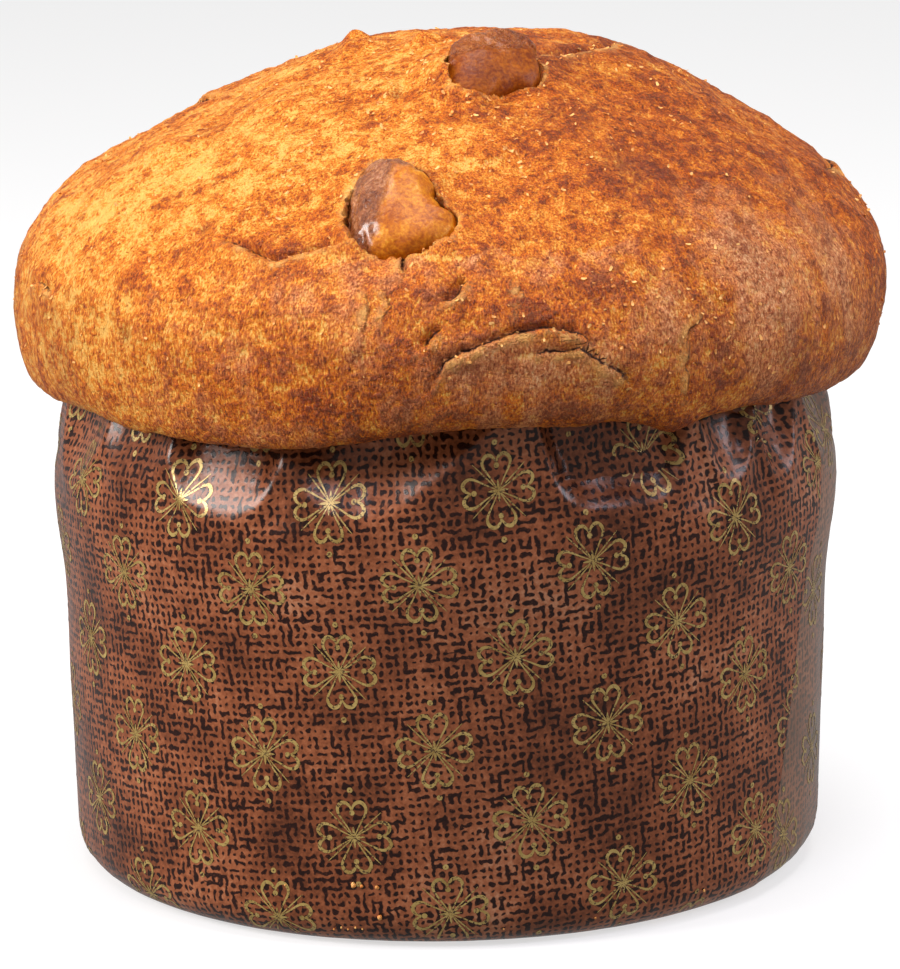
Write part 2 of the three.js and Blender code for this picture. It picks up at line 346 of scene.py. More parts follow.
cap = {
    "top": 187.0, "wideHeight": 130.0, "wide": 97.8, "widerRight": 1.1, "rimRadius": 90.8,
    "rimHeight": 112.2, "shoulder": 2.4, "hollow": 0.26, "crownShift": 7.2,
    "rimLifts": [(-34, -1.4, 15), (9, 4.2, 21), (45, 2.3, 8), (120, 2.4, 18), (178, -1.6, 22),
                 (-118, 2.2, 16), (22, 1.4, 5), (31.5, -1.9, 3.2)],   # bearing, lift, width
}


def onBearing(angle, radius, height):
    return np.stack([
        radius * np.sin(angle) + case["lean"] * height, -radius * np.cos(angle), height + 0 * angle,
    ], -1)


# Height at which the full paper starts to draw in.
def creaseAt(angle):
    plain = case["crease"] + 0 * angle
    for bearing, rise, width in case["ridges"]:
        plain = plain + rise * bump(angle, bearing, width, 4)
    front = case["ridgeTop"] + 0 * angle
    for bearing, fall, width in case["ridgeFalls"]:
        front = front - fall * bump(angle, bearing, width, 4)
    highest = front
    for bearing, left, right, low, square, _, _ in case["pockets"]:
        off = np.degrees(turnBetween(angle, bearing))
        away = np.abs(off) / np.where(off < 0, left, right)
        edge = low + (highest - low) * np.minimum(away, 3) ** square
        front = np.minimum(front, edge)
    facing = 1 - softStep(78, 98, np.abs(np.degrees(turnBetween(angle, 0))))
    return np.minimum(mixed(plain, front, facing), case["height"] - 4)


# How deep the paper is drawn in over the crease, and over what height.
def pocketAt(angle):
    depth = case["backDepth"] + 0 * angle
    run = case["backRun"] + 0 * angle
    for bearing, left, right, _, _, deep, soon in case["pockets"]:
        off = np.degrees(turnBetween(angle, bearing))
        share = np.exp(-(np.abs(off) / np.where(off < 0, left, right)) ** 6)
        depth = mixed(depth, deep, share)
        run = mixed(run, soon, share)
    return depth, run


# Bearing of the lap seam at a height, in degrees.
def seamAt(height):
    rising = case["seamFoot"] + case["seamLean"] * height
    falling = case["seamFoot"] + case["seamLean"] * case["seamTurn"]
    return np.minimum(rising, falling - case["seamBack"] * (height - case["seamTurn"]))


# Outside radius of the paper, with its puckers and small creases.
def paperRadius(angle, height):
    barrel = mixed(case["foot"], case["waist"], np.clip(height / case["barrelTop"], 0, 1))
    swollen = case["swell"] * np.exp(-((height - case["swellHeight"]) / case["swellReach"]) ** 2)
    kept = case["swellKept"] * case["swell"]
    swollen = np.where(height > case["swellHeight"], np.maximum(swollen, kept), swollen)
    crease = creaseAt(angle)
    over = np.maximum(height - crease, 0)
    above = np.clip(over / (case["height"] - crease), 0, 1)
    depth, run = pocketAt(angle)
    drawn = depth * (1 - np.exp(-(over / run) ** 2)) + np.maximum(case["tuck"] - depth, 0) * above ** 2
    eased = 1 - np.exp(-(np.maximum(height - case["easeFrom"], 0) / case["easeRun"]) ** 2)
    eased = case["easeDepth"] * eased * (1 - case["fullShare"] * bump(angle, *case["fullAt"], 4))
    drawn = np.hypot(drawn, eased)
    # The paper stands out along the fold.
    rolled = case["foldStand"] * np.exp(-((height - crease) / case["foldReach"]) ** 2)
    places = onBearing(angle, case["waist"] + 0 * height, height)
    slack = 0.1 + 0.28 * softStep(80, 104, height)
    creased = slack * lumps(places * np.array([1, 1, 0.5]), 11, 11)
    creased += 0.35 * slack * lumps(places, 4.5, 12)
    dents = 0.35 * lumps(places * np.array([1, 1, 0.7]), 34, 13)
    after = (np.degrees(turnBetween(angle, 0)) - seamAt(height)) % 360 - 360   # -360 to 0, 0 at the seam
    lapped = case["seamStep"] * np.exp(after / case["lapFade"])
    return barrel + swollen - drawn + rolled + creased + dents + lapped


# Points of the smooth cap, from the pole at 0 over the widest ring at 1 to the rim at 2.
def capPoints(angle, down):
    slope = np.minimum(down, 1) * math.pi / 2
    wide = cap["wide"] + cap["widerRight"] * np.sin(angle)
    under = np.maximum(down - 1, 0) * math.pi / 2
    rim = cap["rimHeight"] + 0 * angle
    for bearing, lift, width in cap["rimLifts"]:
        rim = rim + lift * bump(angle, bearing, width)
    narrowing = 1 - cap["hollow"] * np.sin(2 * slope) * np.cos(slope)
    lift = np.maximum(np.cos(slope), 0) ** (2 / cap["shoulder"])
    radius = wide * np.sin(slope) * narrowing
    height = cap["wideHeight"] + (cap["top"] - cap["wideHeight"]) * lift
    radius = np.where(down > 1, cap["rimRadius"] + (wide - cap["rimRadius"]) * np.cos(under), radius)
    height = np.where(down > 1, cap["wideHeight"] - (cap["wideHeight"] - rim) * np.sin(under), height)
    points = onBearing(angle, radius, height)
    points[..., 0] += np.where(down > 1, 0, cap["crownShift"] * np.cos(slope) ** 2)
    return points


def capOutward(points):
    below = cap["wideHeight"] - cap["rimHeight"]
    rise = np.where(points[..., 2] > cap["wideHeight"], cap["top"] - cap["wideHeight"], below)
    return unit(np.stack([
        points[..., 0] / cap["wide"] ** 2,
        points[..., 1] / cap["wide"] ** 2,
        (points[..., 2] - cap["wideHeight"]) / rise ** 2,
    ], -1))


def onCap(bearing, down):
    return capPoints(np.array([math.radians(bearing)]), np.array([float(down)]))[0]


peels = {
    # Outline seen from outside: places across and up the slope. Lips: direction round the
    # block (0 right, 90 up the slope) and how high the torn crust stands there.
    "peel_front": {
        "node": "candied_peel_front", "bearing": -8, "down": 0.685, "size": (25, 26, 18),
        "turned": 0, "tip": 4, "standOut": 4.6, "seed": 61, "square": 4,
        "outline": [(-12.1, 0.4), (-11.6, 6.4), (-9.4, 11.4), (-6, 14.6), (-2.2, 14.9), (0.8, 13.4),
                    (3.4, 11),
                    (6.4, 7.2), (7, 3.4), (9, 0.4), (12.4, -2.3), (11.6, -6.2), (8.6, -9.3), (4.8, -11.3),
                    (0.5, -12.9), (-3.8, -13), (-7.2, -11.9), (-10.4, -8.3), (-11.9, -4.4)],
        "lips": [(0, 1.4), (45, 1.6), (100, 0.5), (150, 0.6), (180, 0.3), (222, 2.6), (262, -0.5),
                 (318, 0.2)],
    },
    "peel_top": {
        "node": "candied_peel_top", "bearing": 8, "down": 0.26, "size": (26, 20, 16),
        "turned": 4, "tip": 20, "standOut": 5.6, "seed": 71, "square": 4,
        "outline": [(-12.6, -4.9), (-11.4, 1.4), (-8.8, 5.6), (-5.8, 9), (0, 9.9), (8.5, 8.6), (11.6, 4.6),
                    (11, 0), (9.8, -4.2), (7, -6.9), (1.8, -7.4), (-3.2, -8.1), (-6.5, -9.3),
                    (-10.8, -7.3)],
        "lips": [(0, 0.8), (40, 0.5), (90, 0.8), (140, 3.2), (185, 4.4), (220, 2.6), (262, -1.6),
                 (305, -1.0)],
    },
    "peel_back": {
        "node": "candied_peel_back", "bearing": 158, "down": 0.58, "size": (22, 17, 14),
        "turned": -30, "tip": 0, "standOut": 3.6, "seed": 81, "square": 3,
        "outline": [(-10.8, 0), (-9.8, 5.6), (-4, 8.2), (4, 8), (10, 5.2), (11, -1), (8.4, -7), (0, -8.4),
                    (-8.6, -7)],
        "lips": [(0, 1.5), (90, 2.0), (150, 1.0), (210, 1.8), (270, 0.4), (320, 1.4)],
    },
}
peelForm = {"around": 132, "ends": 80, "wave": 0.04, "tuckedIn": 0.975, "jag": 0.07}


# A value given at some directions round a circle, in degrees, smoothly joined between them.
def roundTrip(marks, direction):
    marks = sorted(marks)
    places = np.array([place for place, _ in marks], float)
    values = np.array([value for _, value in marks], float)
    places = np.concatenate([places[-1:] - 360, places, places[:1] + 360])
    values = np.concatenate([values[-1:], values, values[:1]])
    at = direction % 360
    leg = np.clip(np.searchsorted(places, at, side="right") - 1, 0, len(places) - 2)
    share = (at - places[leg]) / (places[leg + 1] - places[leg])
    share = share * share * (3 - 2 * share)
    return mixed(values[leg], values[leg + 1], share)


def outlineRadius(peel, x, y):
    marks = [(math.degrees(math.atan2(b, a)) % 360, math.hypot(a, b)) for a, b in peel["outline"]]
    return roundTrip(marks, np.degrees(np.arctan2(y, x)))


# Directions across, up the slope and outward for a block of peel, and its middle.
def peelFrame(peel):
    centre = onCap(peel["bearing"], peel["down"])
    outward = capOutward(centre)
    across = unit(np.cross([0, 0, 1], outward))
    upSlope = np.cross(outward, across)
    basis = np.array(Matrix(np.stack([across, upSlope, outward], 1).tolist())
                     @ Matrix.Rotation(math.radians(peel["turned"]), 3, "Z")
                     @ Matrix.Rotation(math.radians(peel["tip"]), 3, "X"))
    return basis, centre + outward * (peel["standOut"] - peel["size"][2] / 2)


crust = {
    "columns": 456, "frontCrowding": 0.4, "domeRings": 164, "lipRings": 30, "underRings": 6,
    # Soft swellings and sunk places: bearing, way down, reach, height.
    "swellings": [(-32, 0.1, 13, 1.6), (-76, 0.21, 5, 2.2), (-12, 0.9, 12, 1.4), (-26, 0.7, 11, -1.6),
                  (-66, 0.62, 9, 1.2), (62, 0.55, 15, -0.6), (20, 1.02, 9, 1.3), (2, 0.5, 9, 1.0),
                  (50, 0.4, 15, -1.2), (130, 0.55, 18, 1.8), (175, 0.75, 14, -1.5),
                  (-140, 0.5, 16, 1.6), (-105, 0.8, 15, 1.3)],
    # Broad places painted lighter or darker: bearing, way down, reach across, reach down, change. Most are
    # the crust's own baked tone. The darkening at -8 low on the lip is painted shade, and the one at -28 is
    # partly painted shade in the long split. The lightening at -68 and -36 high on the left is partly
    # painted highlight.
    "tones": [(-68, 0.78, 15, 8, -0.4), (-56, 0.66, 22, 14, -0.2), (-36, 0.56, 26, 12, -0.14),
              (-42, 0.87, 18, 8, 0.12),
              (-28, 0.78, 12, 4, 0.28), (-22, 0.9, 30, 13, -0.2), (-58, 1.15, 32, 20, -0.12),
              (-8, 1.35, 50, 12, 0.24),
              (-1, 1.0, 7, 5, 0.32), (12, 1.2, 10, 5, 0.16), (9, 1.03, 24, 6, -0.2),
              (-35, 0.3, 22, 12, -0.12), (-25, 0.36, 8, 3.5, 0.4),
              (35, 0.45, 30, 20, 0.14), (40, 0.7, 20, 20, 0.12), (76, 0.85, 14, 24, 0.12),
              (5, 0.55, 16, 8, -0.12),
              (14, 0.62, 12, 7, 0.1), (-86, 1.0, 14, 18, 0.04), (150, 1.1, 40, 18, 0.2),
              (-140, 0.7, 30, 20, -0.12)],
    "folds": [(-48, 0.5, 62, 24), (-10, 0.4, 30, 12), (140, 0.45, 50, 22)],   # bearing, way down, reaches
    "foldHeight": 0.75, "splitDepth": 0.75,
    # where flakes lie
    "flaking": [(2, 0.3, 34, 20), (-14, 0.6, 16, 10), (16, 0.55, 20, 8), (30, 0.9, 20, 10)],
    # Broad unglazed, tan places: bearing, way down, reach across, reach down, strength.
    "tans": [(10, 1.02, 32, 12, 0.7), (45, 0.9, 18, 24, 0.98), (62, 0.92, 15, 24, 0.8),
             (-24, 1.7, 50, 6, 0.45),
             (28, 0.92, 16, 13, 0.6), (-28, 0.98, 18, 8, 0.5),
             (8, 1.7, 60, 7, 0.5), (30, 1.0, 26, 12, 0.45), (60, 1.2, 40, 14, 0.4), (-18, 0.88, 18, 9, 0.5),
             (180, 1.1, 60, 10, 0.6), (120, 1.2, 50, 12, 0.6), (-110, 1.2, 55, 10, 0.5),
             (150, 0.5, 20, 20, 0.5)],
    # Splits: places the split runs through, half width, depth, how far the crust below it
    # stands up, how far that reaches, and how dark the painted shade inside it is.
    "splits": [
        ([(-34, 0.772), (-28, 0.79), (-24, 0.806), (-19.5, 0.774), (-14.5, 0.764)], 1.5, 3.0, 1.5, 5.0,
         0.8),
        ([(-8.5, 0.775), (-6.5, 0.783), (-6, 0.825)], 1.1, 2.0, 0.3, 2.0, 0.7),
        ([(-1, 0.876), (0.8, 0.856), (2.5, 0.838)], 1.6, 2.6, 0.5, 2.5, 0.9),
        ([(-3, 0.963), (-1.8, 0.945), (-0.5, 0.927)], 1.3, 2.2, 0.4, 2.0, 0.7),
        ([(-2.2, 1.14), (-1.2, 1.06), (0, 0.99), (1.5, 0.976), (3, 0.969), (6.5, 0.95), (9.5, 0.94),
          (12.5, 0.934), (16, 0.944), (18, 0.972), (19, 0.98)], 0.9, 1.9, 1.5, 5.5, 0.9),
        ([(10, 0.982), (12, 0.976), (16.5, 0.976), (19, 0.995), (21.5, 1.07), (24, 1.225)],
         0.7, 1.3, 0.7, 2.5, 0.7),
        ([(34.5, 0.94), (31.5, 0.966), (30.8, 1.08), (31.5, 1.2), (32, 1.4)], 1.0, 1.1, 0.4, 3.0, 0.5),
        ([(20, 0.215), (35, 0.2), (50, 0.197), (80, 0.24), (108, 0.284)], 1.7, 2.6, 0.7, 4.0, 1.0),
        ([(-10.5, 0.86), (-9.8, 0.9), (-9.9, 0.94)], 0.55, 0.6, 0.2, 1.5, 0.4),
        ([(-7.8, 0.85), (-7.4, 0.89), (-7.9, 0.92)], 0.55, 0.6, 0.2, 1.5, 0.4),
        ([(9.2, 0.85), (9.8, 0.875), (9.5, 0.9)], 0.55, 0.6, 0.2, 1.5, 0.4),
        ([(134, 0.83), (142, 0.87), (152, 0.9), (160, 0.865), (167, 0.84)], 1.7, 2.8, 1.5, 6.0, 0.8),
        ([(-98, 0.49), (-106, 0.54), (-114, 0.585), (-121, 0.56), (-128, 0.56)], 1.6, 2.4, 1.2, 5.0, 0.7),
        ([(84, 0.74), (92, 0.77), (101, 0.75)], 1.2, 1.6, 1.0, 4.0, 0.6),
        ([(-150, 1.0), (-146, 0.965), (-139, 0.95), (-133, 0.97)], 0.9, 1.6, 1.2, 5.0, 0.8),
        ([(-72, 0.95), (-68, 0.93), (-63, 0.94)], 0.9, 0.9, 0.7, 4.0, 0.5),
    ],
    # Small pits and blisters: bearing, way down, reach, height.
    "spots": [(-39, 0.75, 2.0, -0.9), (-11.5, 0.965, 1.6, 0.9), (-22, 0.35, 1.6, -0.9),
              (-24, 0.33, 1.8, 0.8),
              (-18, 0.42, 2.2, 0.9), (0.5, 0.36, 1.3, -1.4), (-93.5, 0.204, 3.0, 2.6),
              (-39, 0.13, 3.4, 2.0),
              (26, 0.72, 1.6, -0.6), (38, 0.9, 2.4, 0.6), (-52, 0.93, 2.6, 0.7), (-45, 0.98, 2.0, -0.5)],
    # Dark purple-brown stains: bearing, way down, reach across, reach down, strength.
    "stains": [(31.5, 0.607, 9, 7, 0.75), (45, 0.84, 3.5, 8, 0.5), (48, 1.0, 3.5, 9, 0.55),
               (51, 1.3, 4, 8, 0.5),
               (62, 0.8, 5, 12, 0.45), (30, 0.2, 12, 5, 0.8), (60, 0.2, 14, 5, 0.7),
               (-88, 1.1, 10, 12, 0.5),
               (-60, 1.15, 9, 8, 0.45), (36, 1.25, 5, 5, 0.5), (120, 0.6, 13, 10, 0.5),
               (-130, 0.8, 14, 9, 0.5),
               (170, 0.4, 12, 10, 0.5), (-24, 0.79, 7, 4, 0.5), (24, 0.45, 8, 5, 0.35),
               (8, 0.43, 8, 4, 0.35)],
}


# Distance to a run of places, the side of it (above 0 is up the slope), and how far along it.
def nearRun(points, outward, run):
    nearest = np.full(len(points), np.inf)
    side = np.zeros(len(points))
    along = np.zeros(len(points))
    lengths = [float(np.linalg.norm(b - a)) for a, b in zip(run, run[1:])]
    done = 0.0
    for a, b, length in zip(run, run[1:], lengths):
        leg = b - a
        share = np.clip((points - a) @ leg / (leg @ leg), 0, 1)
        away = points - a - share[:, None] * leg
        distance = np.linalg.norm(away, axis=1)
        closer = distance < nearest
        upward = (away * np.cross(outward, leg)).sum(1) / length
        nearest = np.where(closer, distance, nearest)
        side = np.where(closer, upward, side)
        along = np.where(closer, (done + share * length) / sum(lengths), along)
        done += length
    return nearest, side, along


# How strongly each point lies in a soft oval place on the cap, full strength in its middle.
def patch(points, wander, bearing, way, across, along):
    centre = onCap(bearing, way)
    out = capOutward(centre)
    sideways = unit(np.cross([0, 0, 1], out))
    upSlope = np.cross(out, sideways)
    off = points - centre + wander
    away = np.hypot(off @ sideways / across, off @ upSlope / along)
    return np.exp(-away ** 2) * (np.abs(off @ out) < max(12, across * 0.6))


# Height of the crust over the smooth cap, and the fields that its material reads.
def crustRelief(points, outward, angle, down):
    x, y, z = points.T
    height = 0.5 * np.sin(x / 9 + z / 14) * np.cos(y / 11 - z / 8)
    for bearing, way, reach, rise in crust["swellings"]:
        away = np.linalg.norm(points - onCap(bearing, way), axis=1) / reach
        height += rise * np.exp(-away ** 2)
    stainAndShade = np.zeros(len(points))
    pale = np.zeros(len(points))
    splitSide = np.full(len(points), 6.0)
    splitNear = np.zeros(len(points))
    wander = np.stack([lumps(points, 6, 21), lumps(points, 6, 22), lumps(points, 6, 23)], 1)
    wander += 0.5 * np.stack([lumps(points, 2.2, 24), lumps(points, 2.2, 25), lumps(points, 2.2, 26)], 1)
    for places, width, depth, raised, reach, insideShade in crust["splits"]:
        run = np.array([onCap(*place) for place in places])
        near = np.linalg.norm(points - run.mean(0), axis=1) < 60
        distance, side, along = nearRun(points[near] + 0.8 * wander[near], outward[near], run)
        taper = np.clip(np.minimum(along, 1 - along) * 6, 0.15, 1) ** 0.7
        upper = np.where(side > 0, 1, 0)
        groove = np.exp(-(distance / width) ** 2) * mixed(0.25, 1, upper)
        signed = np.where(side > 0, distance, -distance)
        nearer = distance < np.abs(splitSide[near])
        splitSide[near] = np.where(nearer, signed, splitSide[near])
        strength = insideShade * taper * np.exp(-(distance / 1.8) ** 2)
        splitNear[near] = np.where(nearer, strength, splitNear[near])
        height[near] -= crust["splitDepth"] * depth * taper * groove
        height[near] += raised * taper * (1 - upper) * np.exp(-distance / reach) * softStep(0, 0.8,
                                                                                            distance)
        # Painted shade: the groove of each split is darkened in the stain field.
        stainAndShade[near] = np.maximum(stainAndShade[near], 0.3 * insideShade * taper * np.exp(-(distance / width) ** 2))
        edge = 1.1 * taper * (1 - upper) * np.exp(-((distance - 1.1) / 1.1) ** 2)
        pale[near] = np.maximum(pale[near], edge * softStep(-0.6, 0.5, lumps(points[near], 2.6, 27)))
    for bearing, way, reach, rise in crust["spots"]:
        away = np.linalg.norm(points - onCap(bearing, way), axis=1) / reach
        height += rise * np.exp(-away ** 2)
        # Sunk pits are darkened: painted shade in the hollow.
        if rise < 0:
            stainAndShade = np.maximum(stainAndShade, 0.5 * np.exp(-away ** 2))
    coarse = lumps(points, 13, 31)
    middle = lumps(points, 5.5, 32)
    fine = lumps(points * np.array([1, 1, 0.75]), 2.4, 33)
    grain = lumps(points * np.array([1, 1, 0.8]), 1.25, 34)
    side = softStep(0.75, 1.1, down)   # the cap's side is smoother than its top
    rough = mixed(1.0, 0.45, side)
    blister = softStep(0.1, 0.9, lumps(points, 9, 35)) * rough
    height += 0.5 * coarse + 0.5 * middle * rough + (0.22 + 0.24 * blister) * fine + 0.17 * grain
    folded = np.zeros(len(points))
    for bearing, way, across, along in crust["folds"]:
        folded = np.maximum(folded, patch(points, 3 * wander, bearing, way, across, along))
    slopes = np.stack([
        angle * 3.6 + 0.25 * lumps(points, 12, 38), down * 19 + 0.6 * lumps(points, 9, 39), 0 * angle,
    ], 1)
    arcs = lumps(slopes, 1.0, 40)
    height += crust["foldHeight"] * folded * arcs
    patchy = softStep(-0.5, 0.6, lumps(points, 3.2, 41) + 0.6 * lumps(points, 8, 42))
    for bearing, way, across, along, strength in crust["stains"]:
        near = patch(points, 2.5 * wander, bearing, way, across, along)
        stainAndShade = np.maximum(stainAndShade, strength * near * (0.35 + 0.65 * patchy))
    blotch = lumps(points, 7, 43) + 0.7 * lumps(points * np.array([1, 1, 0.5]), 3.4, 44)
    stainAndShade = np.maximum(stainAndShade, 0.34 * softStep(0.75, 1.5, blotch))
    tan = np.zeros(len(points))
    for bearing, way, across, along, strength in crust["tans"]:
        near = patch(points, 4 * wander, bearing, way, across, along)
        tan = np.maximum(tan, strength * near)
    streaks = lumps(points * np.array([1, 1, 0.35]), 5, 45)
    streaks += 0.8 * lumps(points * np.array([1, 1, 0.3]), 2.6, 46)
    tan = np.clip(tan + 0.25 * streaks * (0.4 + tan) + 0.12 * lumps(points, 14, 47), 0, 1)
    bakeAndShade = 0.46 + 0.1 * coarse + 0.12 * middle + 0.1 * fine + 0.08 * grain
    # Painted light and shade: the left side is painted lighter and the right darker, as the light falls
    # from the left. The lip below the widest ring is painted darker, as painted shade under the overhang.
    bakeAndShade += 0.12 * np.sin(angle - 0.2) + 0.12 * softStep(1.0, 1.9, down)
    bakeAndShade += 0.18 * softStep(0.2, 1.0, lumps(points, 20, 36))
    bakeAndShade -= 0.1 * softStep(0.1, 0.9, lumps(points, 17, 37)) * (1 - side)
    bakeAndShade -= 0.16 * folded * arcs
    # Some of these tones are painted shade and painted highlight, as listed in the table.
    for bearing, way, across, along, change in crust["tones"]:
        bakeAndShade += change * patch(points, 4 * wander, bearing, way, across, along)
    flaky = 0.1 + 0.5 * softStep(0.3, 1.4, lumps(points, 13, 48)) + 0.9 * pale
    for bearing, way, across, along in crust["flaking"]:
        flaky += 0.8 * patch(points, 4 * wander, bearing, way, across, along)
    flaky = np.clip(flaky, 0, 1) * (1 - softStep(1.1, 1.4, down))
    calm = np.clip(0.9 * softStep(1.0, 1.25, down) + 0.5 * softStep(0.2, 0.7, tan), 0, 1)
    fields = {
        "flaky": flaky, "calm": calm, "bakeAndShade": np.clip(bakeAndShade, 0, 1), "stainAndShade": np.clip(stainAndShade, 0, 1),
        "pale": np.clip(pale, 0, 1), "tan": tan, "splitSide": splitSide, "splitNear": splitNear,
    }
    return height, fields


# Pushes the crust under each block of peel, so that the block sits in a socket.
def sinkSockets(points, fields):
    for peel in peels.values():
        basis, origin = peelFrame(peel)
        half = np.array(peel["size"]) / 2 + case["gap"]
        local = (points - origin) @ basis
        uneven = lumps(points, 2.4, peel["seed"] + 5) + 0.7 * lumps(points, 5, peel["seed"] + 6)
        jag = 1 + peelForm["jag"] * uneven
        reach = outlineRadius(peel, local[:, 0], local[:, 1]) * peelForm["tuckedIn"] * jag
        share = np.hypot(local[:, 0], local[:, 1]) / reach
        shallow = local[:, 2] > -half[2] * 0.2
        inside = (share < 1) & shallow
        floor = -half[2] * np.maximum(1 - share ** peel["square"], 0.02) ** (1 / peel["square"]) - 0.3
        wanted = local.copy()
        wanted[:, 2] = np.where(inside, floor, local[:, 2])
        points = np.where(inside[:, None], wanted @ basis.T + origin, points)
        lip = np.exp(-((share - 1.06) / 0.05) ** 2) * shallow
        torn = softStep(-0.5, 0.6, lumps(points, 3, peel["seed"] + 7))
        fields["pale"] = np.maximum(fields["pale"], lip * torn)
        # The crust in each socket is painted dark: painted shade around and under the block.
        fields["stainAndShade"] = np.where(inside, 0.85, fields["stainAndShade"])
    return points


def makeCrust():
    count = crust["columns"]
    even = np.arange(count) * turn / count
    angles = even - crust["frontCrowding"] * np.sin(even)
    lower = 2 - np.arange(crust["lipRings"]) / crust["lipRings"]
    upper = 1 - np.arange(crust["domeRings"]) / crust["domeRings"]
    downs = np.concatenate([lower, upper])
    angle = np.tile(angles, len(downs))
    down = np.repeat(downs, count)
    angle = np.append(angle, 0.0)
    down = np.append(down, 0.0)   # the pole
    points = capPoints(angle, down)
    outward = capOutward(points)
    height, fields = crustRelief(points, outward, angle, down)
    for peel in peels.values():
        basis, origin = peelFrame(peel)
        local = (points - origin) @ basis
        away = np.hypot(local[:, 0], local[:, 1]) - outlineRadius(peel, local[:, 0], local[:, 1])
        near = np.exp(-(np.maximum(away, 0) / 4.2) ** 2) * (local[:, 2] > -peel["size"][2] / 2)
        lip = roundTrip(peel["lips"], np.degrees(np.arctan2(local[:, 1], local[:, 0])))
        height += lip * near * (1 + 0.3 * lumps(points, 3.5, peel["seed"]) * (away > -3))
    shaped = points + outward * height[:, None]
    shaped = sinkSockets(shaped, fields)
    ringCount = len(downs)
    surface = shaped[:-1].reshape(ringCount, count, 3)
    # Underside of the cap and the crumb inside the case, which the paper hides.
    throat = case["height"] + 2 * case["gap"]
    hidden = []
    clear = case["paper"] + case["gap"]
    bodyHeights = [1.1, 3, case["footRound"], 30, 44, 70, 80, 88, 94, 100, 106, 112, case["height"], throat]
    for level in bodyHeights:
        onWall = float(min(max(level, case["footRound"]), case["height"]))
        radius = paperRadius(angles, np.full(count, onWall))
        if level < case["footRound"]:
            fall = (case["footRound"] - level) / (case["footRound"] - clear)
            radius = radius - (case["footRound"] - clear) * (1 - math.sqrt(max(1 - fall ** 2, 0)))
        hidden.append(onBearing(angles, radius - clear - 0.1, np.full(count, float(level))))
    rim = surface[0]
    rimRadius = np.hypot(rim[:, 0] - case["lean"] * rim[:, 2], rim[:, 1])
    throatOut = paperRadius(angles, np.full(count, case["height"])) + 2 * case["gap"]
    for step in range(crust["underRings"], 0, -1):
        share = step / crust["underRings"]
        level = mixed(rim[:, 2], throat, math.sqrt(share))
        paperOut = paperRadius(angles, np.minimum(level, case["height"])) + 2 * case["gap"]
        radius = np.maximum(mixed(rimRadius, throatOut, share), paperOut)
        hidden.append(onBearing(angles, radius, level))
    rings = np.concatenate([np.array(hidden), surface])
    poles = np.array([[0, 0, clear], shaped[-1]])
    allPoints = np.concatenate([rings.reshape(-1, 3), poles])
    faces = ringFaces(len(rings), count) + poleFaces(len(rings), count)
    plain = len(hidden) * count

    inCase = {
        "flaky": 0.0, "calm": 1.0, "bakeAndShade": 0.4, "stainAndShade": 0.05, "pale": 0.3, "tan": 0.8,
        "splitSide": 6.0, "splitNear": 0.0,
    }
    whole = {}
    for name, values in fields.items():
        start = inCase[name]
        whole[name] = np.concatenate([np.full(plain, start), values[:-1], [start], [values[-1]]])
    return addMesh("bread_crust", allPoints, faces, whole)


